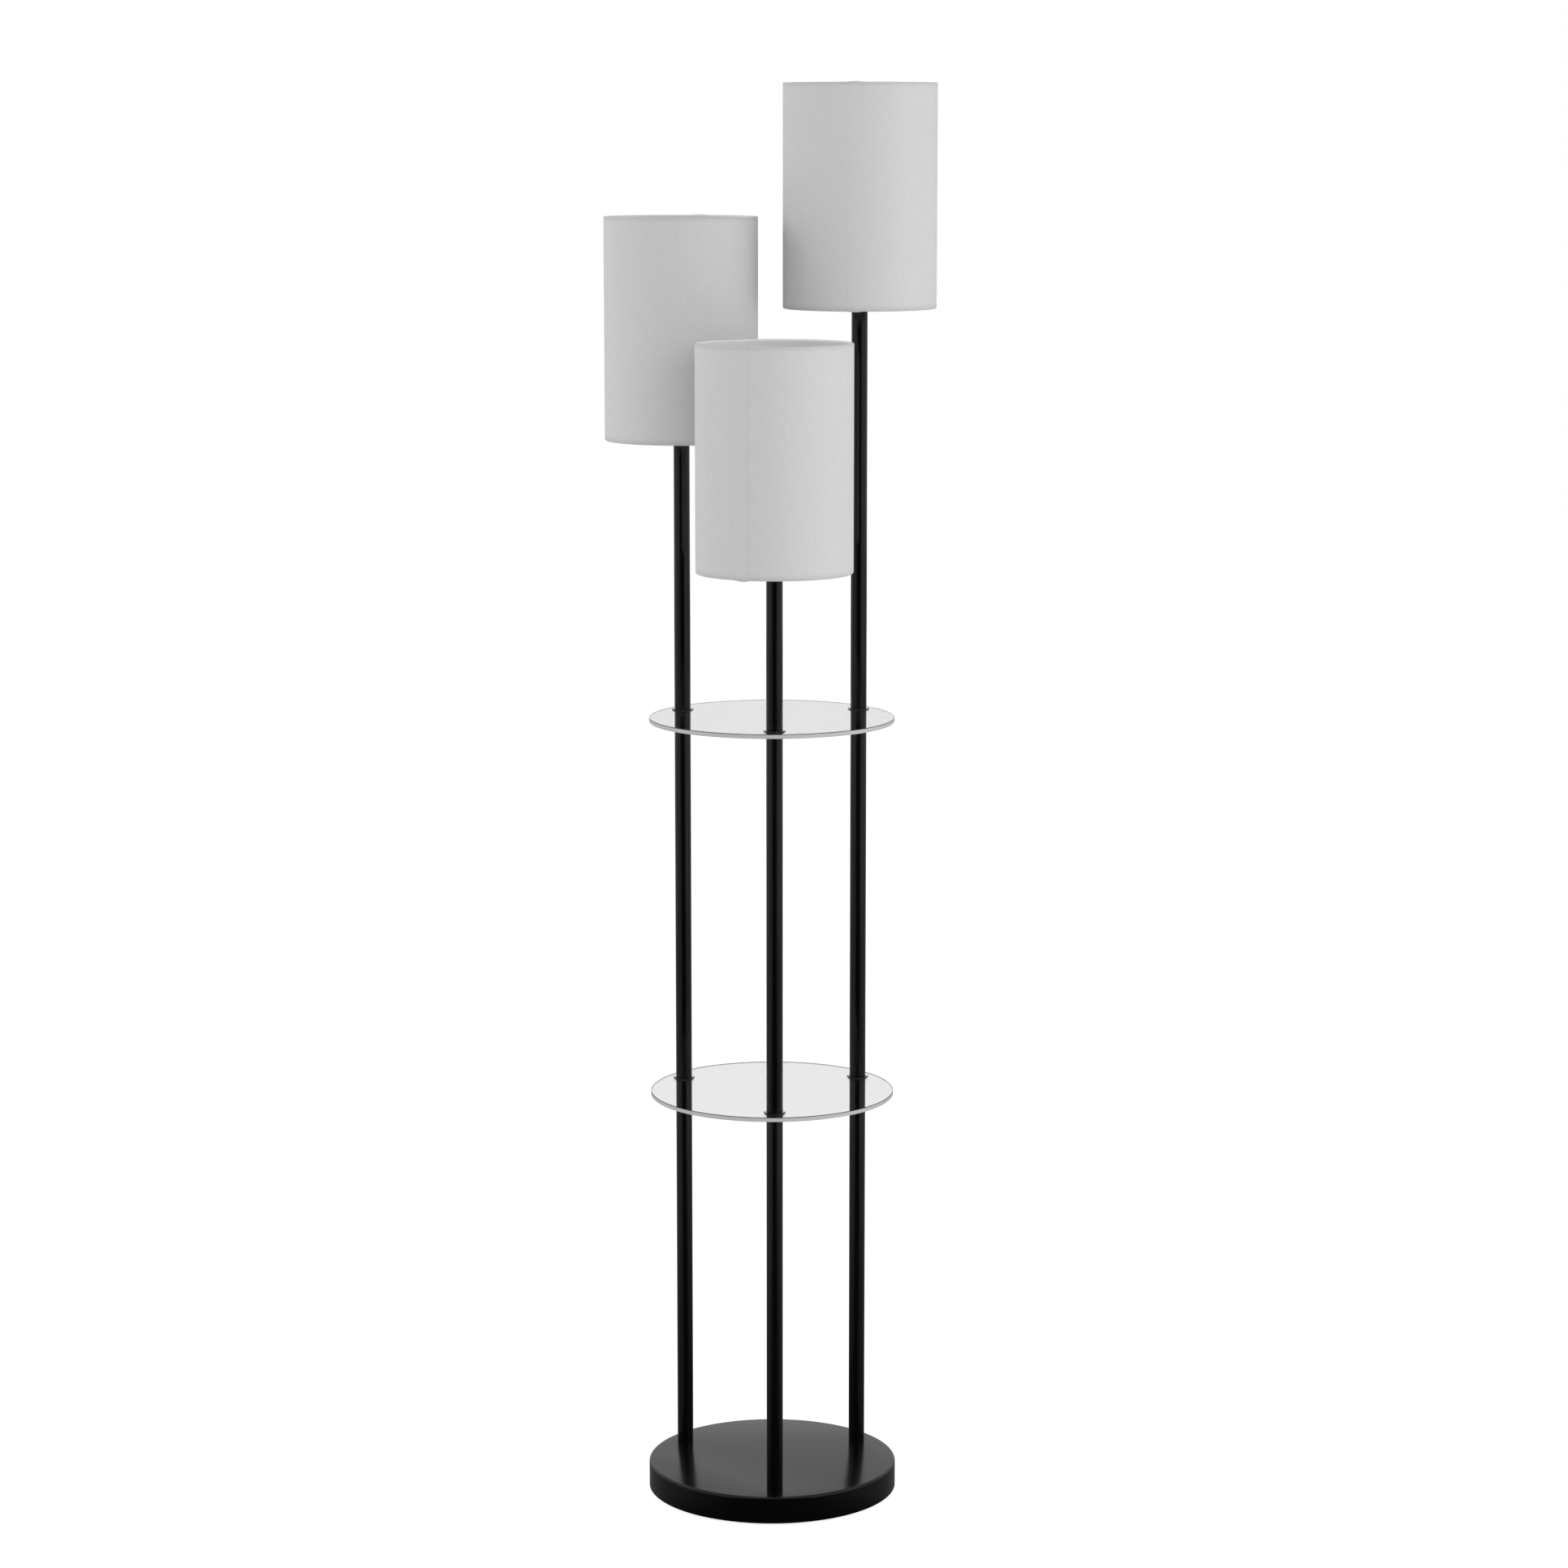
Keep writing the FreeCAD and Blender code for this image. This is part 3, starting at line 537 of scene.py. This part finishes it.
wing.scale = (wing_t, wing_near - knob_low.y, wing_w)
bpy.ops.object.transform_apply(location=False, rotation=False, scale=True)
edge_y, edge_z = (wing_near - knob_low.y) / 2, wing_w / 2
bevel(wing, lambda p: abs(abs(p.y - wing_y) - edge_y) < TOUCH and (
    abs(abs(p.z - knob_z) - edge_z) < TOUCH), wing_corner, 8)
bevel(wing, lambda p: abs(abs(p.x - front_x) - wing_t / 2) < TOUCH, wing_edge, 4)
combine(knob, hub, "UNION")
combine(knob, wing, "UNION")
knobs = {pole: knob if pole == "front" else twin(knob, f"{pole}_knob_piece", pole) for pole in pole_at}
for pole, piece in knobs.items():
    finished(piece, knob_plastic, [pole + "_switch_knob"], body=pole + "_knob")

# ---- bulbs --------------------------------------------------------------------------------
# Round bulb, 60 mm, of frosted glass on a threaded metal cap with a lead tip.

bulb_glass = grained(
    "bulb_frosted_glass", 0.86, 0.34, 700, 0.006 * MM, tone=0.02,
    Subsurface_Weight=0.3, Subsurface_Radius=(0.01, 0.01, 0.01))
bulb_metal = grained("bulb_cap_metal", 0.62, 0.28, 1200, 0.01 * MM, Metallic=1.0)
glass_low, glass_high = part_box("front_bulb_glass")
ball_r = (glass_high.x - glass_low.x) / 2
glass_neck_r = 13.2 * MM
glass_wall = 0.8 * MM
neck_straight = 2 * MM
neck_z = glass_low.z + neck_straight
ball_z = glass_high.z - ball_r
drop = ball_z - neck_z
hollow_r = (drop**2 + glass_neck_r**2 - ball_r**2) / (2 * (ball_r - glass_neck_r))
join_angle = atan2(drop, glass_neck_r + hollow_r)
hollow_steps, ball_steps, crown_angle = 8, 24, radians(4.5)
outline = [(glass_neck_r, glass_low.z)]
for step in range(hollow_steps + 1):
    angle = join_angle * step / hollow_steps
    outline.append((glass_neck_r + hollow_r * (1 - cos(angle)), neck_z + hollow_r * sin(angle)))
for step in range(1, ball_steps):
    angle = -join_angle + (pi / 2 + join_angle) * step / ball_steps
    outline.append((ball_r * cos(angle), ball_z + ball_r * sin(angle)))
bulb = turned("front_bulb", outline, pole_at["front"], 96, closed=False)
edit(bulb)
pick(bulb, "verts", lambda p: p.z > glass_high.z - ball_r * (1 - cos(crown_angle)))
bpy.ops.mesh.edge_face_add()
bpy.ops.mesh.poke()
bpy.ops.mesh.select_all(action="SELECT")
bpy.ops.mesh.normals_make_consistent(inside=False)
bpy.ops.object.mode_set(mode="OBJECT")
apply_modifier(bulb, "SOLIDIFY", thickness=glass_wall, offset=-1)
on_poles(bulb, "bulb", bulb_glass, "bulb_glass")

core_r, tip_r, tip_h, tip_edge, cone_h = 0.5 * MM, 4.5 * MM, 1.5 * MM, 0.6 * MM, 4.5 * MM
screw_r, screw_pitch, screw_depth = 13.2 * MM, 3.6 * MM, 0.7 * MM
screw_turns, collar_z, screw_h = 4, 22 * MM, 24 * MM
screw_outline = [
    (core_r, 0), (tip_r - tip_edge, 0), (tip_r, tip_edge), (tip_r, tip_h), (screw_r - screw_depth, cone_h)]
for step in range(1, 2 * screw_turns + 1):
    z = cone_h + step * screw_pitch / 2
    screw_outline.append((screw_r - screw_depth * (step % 2 == 0), z))
screw_outline += [(screw_r, collar_z), (screw_r, screw_h), (core_r, screw_h)]
screw_outline = [(radius, glass_low.z - screw_h + z) for radius, z in screw_outline]
screws = [turned("front_bulb_cap", screw_outline, pole_at["front"], 72)]
screws += [twin(screws[0], "bulb_cap", pole) for pole in ("left", "right")]
finished(joined(screws, "bulb_screw_caps"), bulb_metal, ["bulb_caps"])

# ---- shade fitters and wire rings ---------------------------------------------------------
# White painted wire. The fitter's flat ring sits on the socket's flange, and three spokes run
# down to the lower of the two rings that keep the shade round.

shade_wire = grained("shade_wire", 0.72, 0.4, 900, 0.01 * MM, tone=0.05)
shade_low, shade_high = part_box("front_shade_cover")
wire_r = 1.5 * MM
ring_low, ring_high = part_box("front_shade_rings")
ring_r = (ring_high.x - ring_low.x) / 2 - wire_r
wires = []
for z in (ring_low.z + wire_r, ring_high.z - wire_r):
    bpy.ops.mesh.primitive_torus_add(
        major_radius=ring_r, minor_radius=wire_r, major_segments=192, minor_segments=20,
        location=(front_x, front_y, z))
    wires.append(bpy.context.object)
on_poles(joined(wires, "front_wires"), "wires", shade_wire, "shade_rings")

fitter_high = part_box("front_shade_fitter")[1].z
fitter_t, fitter_r, fitter_bore_r, fitter_edge, spoke_r = 1.6 * MM, 24.3 * MM, 17.3 * MM, 0.5 * MM, 1.3 * MM
fitter = turned("front_fitter", [
    (fitter_bore_r, fitter_high - fitter_t), (fitter_r, fitter_high - fitter_t), (fitter_r, fitter_high),
    (fitter_bore_r, fitter_high)], pole_at["front"])
bevel(fitter, lambda p: radius_of(p, pole_at["front"]) > fitter_r - NEAR, fitter_edge, 3)
for turn in (60, 180, 300):
    angle = radians(turn - 90)
    out = Vector((cos(angle), sin(angle), 0))
    axis_at = Vector((front_x, front_y, 0))
    start = axis_at + out * (fitter_r - spoke_r) + Vector((0, 0, fitter_high - fitter_t / 2))
    end = axis_at + out * ring_r + Vector((0, 0, ring_low.z + wire_r))
    combine(fitter, round_bar("spoke", spoke_r, start, end, 24), "UNION")
on_poles(fitter, "fitter", shade_wire, "shade_fitter")

# ---- clamp rings --------------------------------------------------------------------------
# Phenolic ring that screws down the barrel on to the fitter, with finger grips round its rim.

clamp_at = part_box("shade_clamp_rings")[0].z
clamp_r, clamp_h, clamp_edge, grip_r, grips = 23 * MM, 9 * MM, 0.8 * MM, 0.9 * MM, 18
clamp_bore_r = barrel_r + 0.1 * MM
clamp = turned("front_clamp", [
    (clamp_bore_r, clamp_at), (clamp_r, clamp_at), (clamp_r, clamp_at + clamp_h),
    (clamp_bore_r, clamp_at + clamp_h)], pole_at["front"], 144)
bevel(clamp, lambda p: radius_of(p, pole_at["front"]) > clamp_r - NEAR, clamp_edge, 4)
cutters = []
for turn in range(grips):
    angle = 2 * pi * turn / grips
    x, y = front_x + clamp_r * cos(angle), front_y + clamp_r * sin(angle)
    below, above = (x, y, clamp_at - cutter_past), (x, y, clamp_at + 2 * cutter_past)
    cutters.append(round_bar("grip", grip_r, below, above, 16))
combine(clamp, joined(cutters, "grips"))
clamps = [clamp] + [twin(clamp, "clamp", pole) for pole in ("left", "right")]
finished(joined(clamps, "clamp_rings"), socket_plastic, ["shade_clamp_rings"])

# ---- shade liners -------------------------------------------------------------------------
# White styrene film, rolled to a drum and bonded inside the fabric, which keeps it stiff.

styrene = grained("liner_styrene", 0.92, 0.5, 400, 0.01 * MM, tone=0.02)
cloth_t = 0.3 * MM
liner_t = 0.5 * MM
shade_r = (shade_high.x - shade_low.x) / 2
glue_t = 0.1 * MM
liner_r = shade_r - cloth_t - glue_t
liner_end = 3 * MM
liner = turned("front_liner", [
    (liner_r - liner_t, shade_low.z + liner_end), (liner_r, shade_low.z + liner_end),
    (liner_r, shade_high.z - liner_end), (liner_r - liner_t, shade_high.z - liner_end)],
    pole_at["front"], 192)
on_poles(liner, "liner", styrene, "shade_cover")

# ---- shade fabric -------------------------------------------------------------------------
# Fine plain-woven cotton, off-white. It is stretched round the liner, lapped and glued in one
# upright seam, and both edges are rolled round the wire rings and turned in. The turned-in strips
# are painted paler, as light shining through the cloth, and each hem has a painted line of shade.

weave = bpy.data.node_groups.new("plain_weave", "ShaderNodeTree")
weave.interface.new_socket("Threads per metre", in_out="INPUT", socket_type="NodeSocketFloat")
weave.interface.new_socket("Height", in_out="OUTPUT", socket_type="NodeSocketFloat")
weave.interface.new_socket("Slub", in_out="OUTPUT", socket_type="NodeSocketFloat")
weave_in = weave.nodes.new("NodeGroupInput")
weave_out = weave.nodes.new("NodeGroupOutput")
weave_uv = weave.nodes.new("ShaderNodeTexCoord")
weave_axes = weave.nodes.new("ShaderNodeSeparateXYZ")
weave.links.new(weave_uv.outputs["UV"], weave_axes.inputs[0])
threads = weave_in.outputs["Threads per metre"]
across = maths(weave, "MULTIPLY", weave_axes.outputs["X"], threads)
up = maths(weave, "MULTIPLY", weave_axes.outputs["Y"], threads)


def thread(beside, along):
    """The height of one set of threads, which pass over and under the other set in turn."""
    crown = maths(weave, "ABSOLUTE", maths(weave, "SINE", maths(weave, "MULTIPLY", beside, pi)))
    turn = maths(weave, "MULTIPLY", maths(weave, "ADD", along, maths(weave, "FLOOR", beside)), pi)
    over = maths(weave, "ADD", maths(weave, "MULTIPLY", maths(weave, "SINE", turn), 0.5), 0.5)
    return maths(weave, "MULTIPLY", crown, over)


weft_phase = maths(weave, "ADD", across, 1.0)
top = maths(weave, "MAXIMUM", thread(across, up), thread(up, weft_phase))
weave.links.new(top, weave_out.inputs["Height"])
slubs = []
for stretch in ((900, 60, 1), (60, 900, 1)):
    spread = weave.nodes.new("ShaderNodeMapping")
    spread.inputs["Scale"].default_value = stretch
    slub = weave.nodes.new("ShaderNodeTexNoise")
    slub.inputs["Scale"].default_value = 1
    slub.inputs["Detail"].default_value = 2
    weave.links.new(weave_uv.outputs["UV"], spread.inputs["Vector"])
    weave.links.new(spread.outputs["Vector"], slub.inputs["Vector"])
    slubs.append(slub.outputs["Fac"])
weave.links.new(maths(weave, "MULTIPLY", maths(weave, "ADD", *slubs), 0.5), weave_out.inputs["Slub"])

cloth_grey, brightest, slub_tone = 0.62, 1.35, 0.035
shade_h = shade_high.z - shade_low.z
cloth = bpy.data.materials.new("shade_fabric")
cloth.use_nodes = True
tree = cloth.node_tree
nodes, link = tree.nodes, tree.links.new
shader = nodes["Principled BSDF"]
shader.inputs["Roughness"].default_value = 0.85
shader.inputs["Specular IOR Level"].default_value = 0.25
shader.inputs["Sheen Weight"].default_value = 0.08
pattern = nodes.new("ShaderNodeGroup")
pattern.node_tree = weave
pattern.inputs["Threads per metre"].default_value = 2200
place = nodes.new("ShaderNodeTexCoord")
axes = nodes.new("ShaderNodeSeparateXYZ")
link(place.outputs["UV"], axes.inputs[0])
ramp_past = 20 * MM
# Painted light and shade by height: paler turned-in strips lit through, a dark shade line at each hem
turned_in_painted_glow, lower_hem_painted_shade, upper_hem_painted_shade = 1.3, 0.87, 0.88
hem = nodes.new("ShaderNodeValToRGB")
hem.color_ramp.interpolation = "EASE"
hem_stops = hem.color_ramp.elements
for end in (0, 1):
    hem_stops[end].color = (turned_in_painted_glow, turned_in_painted_glow, turned_in_painted_glow, 1)
for height, level in (
        (-4 * MM, turned_in_painted_glow), (1 * MM, lower_hem_painted_shade), (8 * MM, 1),
        (shade_h - 6 * MM, 1), (shade_h - 0.5 * MM, upper_hem_painted_shade), (shade_h + 3 * MM, turned_in_painted_glow)):
    stop = hem_stops.new((height + ramp_past) / (shade_h + 2 * ramp_past))
    stop.color = (level, level, level, 1)
link(mapped(tree, axes.outputs["Y"], -ramp_past, shade_h + ramp_past, 0, 1), hem.inputs[0])
tone = mapped(tree, pattern.outputs["Slub"], *usual_noise, 1 - slub_tone, 1 + slub_tone)
share = maths(tree, "DIVIDE", maths(tree, "MULTIPLY", tone, hem.outputs[0]), brightest)
colour = nodes.new("ShaderNodeMix")
colour.data_type = "RGBA"
colour.inputs["A"].default_value = (0, 0, 0, 1)
colour.inputs["B"].default_value = (*[cloth_grey * brightest] * 3, 1)
link(share, colour.inputs["Factor"])
link(colour.outputs["Result"], shader.inputs["Base Color"])
bump = nodes.new("ShaderNodeBump")
bump.inputs["Distance"].default_value = 0.08 * MM
link(pattern.outputs["Height"], bump.inputs["Height"])
link(bump.outputs["Normal"], shader.inputs["Normal"])

cloth_r = shade_r - cloth_t / 2
turn_in = 12 * MM
wire_z = ring_low.z + wire_r - shade_low.z
wrap_r = wire_r + cloth_t / 2


def hem_roll(edge_r):
    """The cloth's profile at its lower end: up inside, round the wire and out to the wall."""
    points = [(liner_r - liner_t - cloth_t, turn_in)]
    for step in range(7):
        angle = radians(120 - 20 * step)
        points.append((ring_r - wrap_r * sin(angle), wire_z - wrap_r * cos(angle)))
    for step in range(6):
        angle = radians(18 * step)
        points.append((
            cloth_r - edge_r * (1 - sin(angle)), wire_z - wrap_r + edge_r * (1 - cos(angle))))
    return [Vector(point) for point in points]


lower_roll, upper_roll = hem_roll(1.8 * MM), hem_roll(1.0 * MM)
crease_z, crease_row = 49 * MM, 0.7 * MM
wall_rows = 56
heights = [shade_h * row / wall_rows for row in range(1, wall_rows)]
heights = [z for z in heights if abs(z - crease_z) > 3 * MM]
heights += [crease_z + crease_row * step for step in range(-3, 4)]
profile = lower_roll + [Vector((cloth_r, z)) for z in sorted(heights)]
profile += [Vector((point.x, shade_h - point.y)) for point in reversed(upper_roll)]
last_row = len(profile) - 1
first_wall_row = len(lower_roll)
way_out, travelled = [], [0.0]
for row in range(last_row + 1):
    along = (profile[min(row + 1, last_row)] - profile[max(row - 1, 0)]).normalized()
    way_out.append(Vector((along.y, -along.x)))
    if row:
        travelled.append(travelled[-1] + (profile[row] - profile[row - 1]).length)
cloth_low = profile[first_wall_row].y - travelled[first_wall_row]

lap = 12 * MM
lap_turn = 360 * lap / (2 * pi * shade_r)
lap_glue_t = 0.03 * MM
lap_step = cloth_t + lap_glue_t
# The cloth's columns in degrees, closer together where the lap steps over its own edge
turns = [1.5 * step for step in range(237)] + [355.5 + 0.5 * step for step in range(9)]
turns += [360.5 + 1.5 * step for step in range(5)] + [360 + lap_turn]
last_column = len(turns) - 1


def eased(value):
    """A rise from 0 to 1 with soft ends."""
    value = min(max(value, 0), 1)
    return value * value * (3 - 2 * value)


# Turn of each lap's free edge, the height of its lump in the hem and the depth of the one crease
seam_at = {"front": (249, 0.9 * MM, 0.2 * MM), "left": (80, 0.4 * MM, 0), "right": (268, 0.4 * MM, 0)}
lap_start, lap_slope, lump_width, lump_h = 356, 3.5, 3.5, 4 * MM
crease_middle, crease_half, crease_fade, crease_w = 265, 18, 6, 0.9 * MM
ripple_depth, ripple_size, ripple_fade = 0.12 * MM, 2.2, 20 * MM
for pole, (x, y) in pole_at.items():
    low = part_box(pole + "_shade_cover")[0].z
    free_edge, lump, crease = seam_at[pole]
    bpy.ops.mesh.primitive_grid_add(
        x_subdivisions=last_column, y_subdivisions=last_row, size=2, location=(0, 0, 0))
    drum = bpy.context.object
    drum.name = pole + "_shade_fabric_drum"
    flat_place = []
    for vertex in drum.data.vertices:
        column = round((vertex.co.x + 1) / 2 * last_column)
        row = round((vertex.co.y + 1) / 2 * last_row)
        turn, point = turns[column], profile[row]
        angle = radians(free_edge - lap_turn + turn)
        from_lap = (turn - lap_turn / 2 + 180) % 360 - 180
        from_hem = min(point.y, shade_h - point.y)
        from_crease = (free_edge - lap_turn + turn - crease_middle + 180) % 360 - 180
        in_crease = eased((crease_half - abs(from_crease)) / crease_fade)
        stand_off = lap_step * eased((turn - lap_start) / lap_slope)
        stand_off += lump * exp(-(from_lap / lump_width) ** 2) * exp(-(from_hem / lump_h) ** 2)
        stand_off -= crease * exp(-((point.y - crease_z) / crease_w) ** 2) * in_crease
        ripple = wander(Vector((cos(angle), sin(angle), (low + point.y) / shade_r)) * ripple_size)
        stand_off += ripple_depth * ripple * eased(from_hem / ripple_fade)
        place = point + way_out[row] * stand_off
        vertex.co = (x + place.x * cos(angle), y + place.x * sin(angle), low + place.y)
        flat_place.append((radians(turn) * shade_r, cloth_low + travelled[row]))
    layer = drum.data.uv_layers.active
    for loop in drum.data.loops:
        layer.data[loop.index].uv = flat_place[loop.vertex_index]
    apply_modifier(drum, "SOLIDIFY", thickness=cloth_t, offset=0)
    finished(drum, cloth, [pole + "_shade_cover"], smooth=60)

# ---- floor, lights and surroundings -------------------------------------------------------
# A white floor that keeps a soft shadow, and three softboxes, two of them with panels that show on
# the poles. A card seen only in reflections, black in front and paler to the sides, keeps the paint
# deep. Reflections see a pale backdrop, brightest near the horizon, and a dark room in front.

floor_size = 16
bpy.ops.mesh.primitive_plane_add(size=floor_size, location=(0, 0, 0))
floor = bpy.context.object
floor.name = "floor"
ground = bpy.data.materials.new("floor")
ground.use_nodes = True
tree = ground.node_tree
nodes, link = tree.nodes, tree.links.new
shader = nodes["Principled BSDF"]
shader.inputs["Base Color"].default_value = (0.8, 0.8, 0.8, 1)
shader.inputs["Roughness"].default_value = 1
shader.inputs["Specular IOR Level"].default_value = 0
white_share, white_level, mirrored_level = 0.62, 1.35, 0.95
path = nodes.new("ShaderNodeLightPath")
white = nodes.new("ShaderNodeEmission")
white.inputs["Strength"].default_value = white_level
mirrored = nodes.new("ShaderNodeEmission")
mirrored.inputs["Strength"].default_value = mirrored_level
lit = mixed(tree, white_share, shader.outputs[0], white.outputs[0])
direct = mixed(tree, path.outputs["Is Camera Ray"], mirrored.outputs[0], lit)
seen = maths(tree, "MAXIMUM", path.outputs["Is Camera Ray"], path.outputs["Is Glossy Ray"])
shown = maths(tree, "MAXIMUM", seen, path.outputs["Is Transmission Ray"])
look = mixed(tree, shown, shader.outputs[0], direct)
link(look, nodes["Material Output"].inputs["Surface"])
floor.data.materials.append(ground)

card_z = 1 * MM
bpy.ops.mesh.primitive_plane_add(size=floor_size, location=(0, 0, card_z))
card = bpy.context.object
card.name = "black_card"
card.visible_camera = card.visible_diffuse = card.visible_shadow = False
velvet = bpy.data.materials.new("black_card")
velvet.use_nodes = True
tree = velvet.node_tree
nodes, link = tree.nodes, tree.links.new
shader = nodes["Principled BSDF"]
shader.inputs["Base Color"].default_value = (0.002, 0.002, 0.002, 1)
shader.inputs["Specular IOR Level"].default_value = 0
shader.inputs["Roughness"].default_value = 1
shader.inputs["Emission Color"].default_value = (1, 1, 1, 1)
where = nodes.new("ShaderNodeTexCoord")
axes = nodes.new("ShaderNodeSeparateXYZ")
link(where.outputs["Object"], axes.inputs[0])
# In reflections the card stays black before and behind the lamp and gets paler to both sides
black_level, near_level, far_level = 0.012, 0.1, 0.3
wedge_from, wedge_to = 0.3, 0.9
aside = maths(tree, "ABSOLUTE", axes.outputs["X"])
ahead = maths(tree, "ADD", maths(tree, "ABSOLUTE", axes.outputs["Y"]), 0.1)
wedge = mapped(tree, maths(tree, "DIVIDE", aside, ahead), wedge_from, wedge_to, 0, 1)
spill = maths(tree, "MULTIPLY", mapped(tree, aside, 0.1, 1.4, near_level, far_level), wedge)
link(maths(tree, "ADD", spill, black_level), shader.inputs["Emission Strength"])
path = nodes.new("ShaderNodeLightPath")
unseen = nodes.new("ShaderNodeBsdfTransparent")
reflecting = maths(tree, "GREATER_THAN", path.outputs["Glossy Depth"], 0.5)
look = mixed(tree, reflecting, unseen.outputs[0], shader.outputs[0])
link(look, nodes["Material Output"].inputs["Surface"])
card.data.materials.append(velvet)


def softbox(name, azimuth, width, power, shine, rise=0):
    """A tall soft lamp and its panel in reflections. Azimuth 0 is the camera's side."""
    distance, tall, height = 2.6, 2.8, 1.5
    place = (distance * sin(radians(azimuth)), -distance * cos(radians(azimuth)), height)
    facing = (radians(90), 0, radians(azimuth))
    light = bpy.data.lights.new(name, "AREA")
    light.shape = "RECTANGLE"
    light.size, light.size_y = width, tall
    light.energy = power
    lamp = bpy.data.objects.new(name, light)
    lamp.location, lamp.rotation_euler = Vector(place) + Vector((0, 0, rise)), facing
    lamp.visible_camera = lamp.visible_glossy = lamp.visible_transmission = False
    bpy.context.scene.collection.objects.link(lamp)
    if not shine:
        return
    bpy.ops.mesh.primitive_plane_add(size=1, location=place, rotation=facing)
    panel = bpy.context.object
    panel.name = name + "_panel"
    panel.scale = (width, tall, 1)
    panel.visible_camera = panel.visible_diffuse = False
    panel.visible_transmission = panel.visible_shadow = False
    glow = bpy.data.materials.new(name + "_panel")
    glow.use_nodes = True
    shader = glow.node_tree.nodes["Principled BSDF"]
    shader.inputs["Base Color"].default_value = (0, 0, 0, 1)
    shader.inputs["Emission Color"].default_value = (1, 1, 1, 1)
    shader.inputs["Emission Strength"].default_value = shine
    panel.data.materials.append(glow)


softbox("right_softbox", 62, 3.0, 27, 0.5)
softbox("left_softbox", -98, 2.4, 28, 0.45, rise=0.5)
softbox("front_softbox", 25, 2.6, 9, 0, rise=0.4)

world = bpy.data.worlds.new("studio")
bpy.context.scene.world = world
world.use_nodes = True
tree = world.node_tree
nodes, link = tree.nodes, tree.links.new
way = nodes.new("ShaderNodeTexCoord")
parts = nodes.new("ShaderNodeSeparateXYZ")
link(way.outputs["Generated"], parts.inputs[0])
# What reflections see, from the camera's side at 0 to the far side at 1, brighter at the horizon
reflected = nodes.new("ShaderNodeValToRGB")
stops = reflected.color_ramp.elements
stops[0].position, stops[0].color = 0.035, (0.02, 0.02, 0.02, 1)
stops[1].position, stops[1].color = 1.0, (0.63, 0.63, 0.63, 1)
for position, level in ((0.17, 0.42), (0.5, 0.36), (0.8, 0.5)):
    stop = stops.new(position)
    stop.color = (level, level, level, 1)
link(mapped(tree, parts.outputs["Y"], -1, 1, 0, 1), reflected.inputs[0])
banded = nodes.new("ShaderNodeVectorMath")
banded.operation = "SCALE"
link(reflected.outputs[0], banded.inputs[0])
horizon_gain, horizon_from, horizon_to = 1.19, 0.14, 0.235
horizon = mapped(tree, parts.outputs["Z"], horizon_from, horizon_to, horizon_gain, 1)
link(horizon, banded.inputs["Scale"])
path = nodes.new("ShaderNodeLightPath")
soft = nodes.new("ShaderNodeMix")
soft.data_type = "RGBA"
soft.inputs["A"].default_value = (0.71, 0.71, 0.71, 1)
link(path.outputs["Is Glossy Ray"], soft.inputs["Factor"])
link(banded.outputs[0], soft.inputs["B"])
background = nodes.new("ShaderNodeMix")
background.data_type = "RGBA"
background.inputs["B"].default_value = (1, 1, 1, 1)
clear_way = maths(tree, "MAXIMUM", path.outputs["Is Camera Ray"], path.outputs["Is Transmission Ray"])
link(clear_way, background.inputs["Factor"])
link(soft.outputs["Result"], background.inputs["A"])
link(background.outputs["Result"], nodes["Background"].inputs["Color"])

bpy.context.scene.view_settings.view_transform = "Standard"
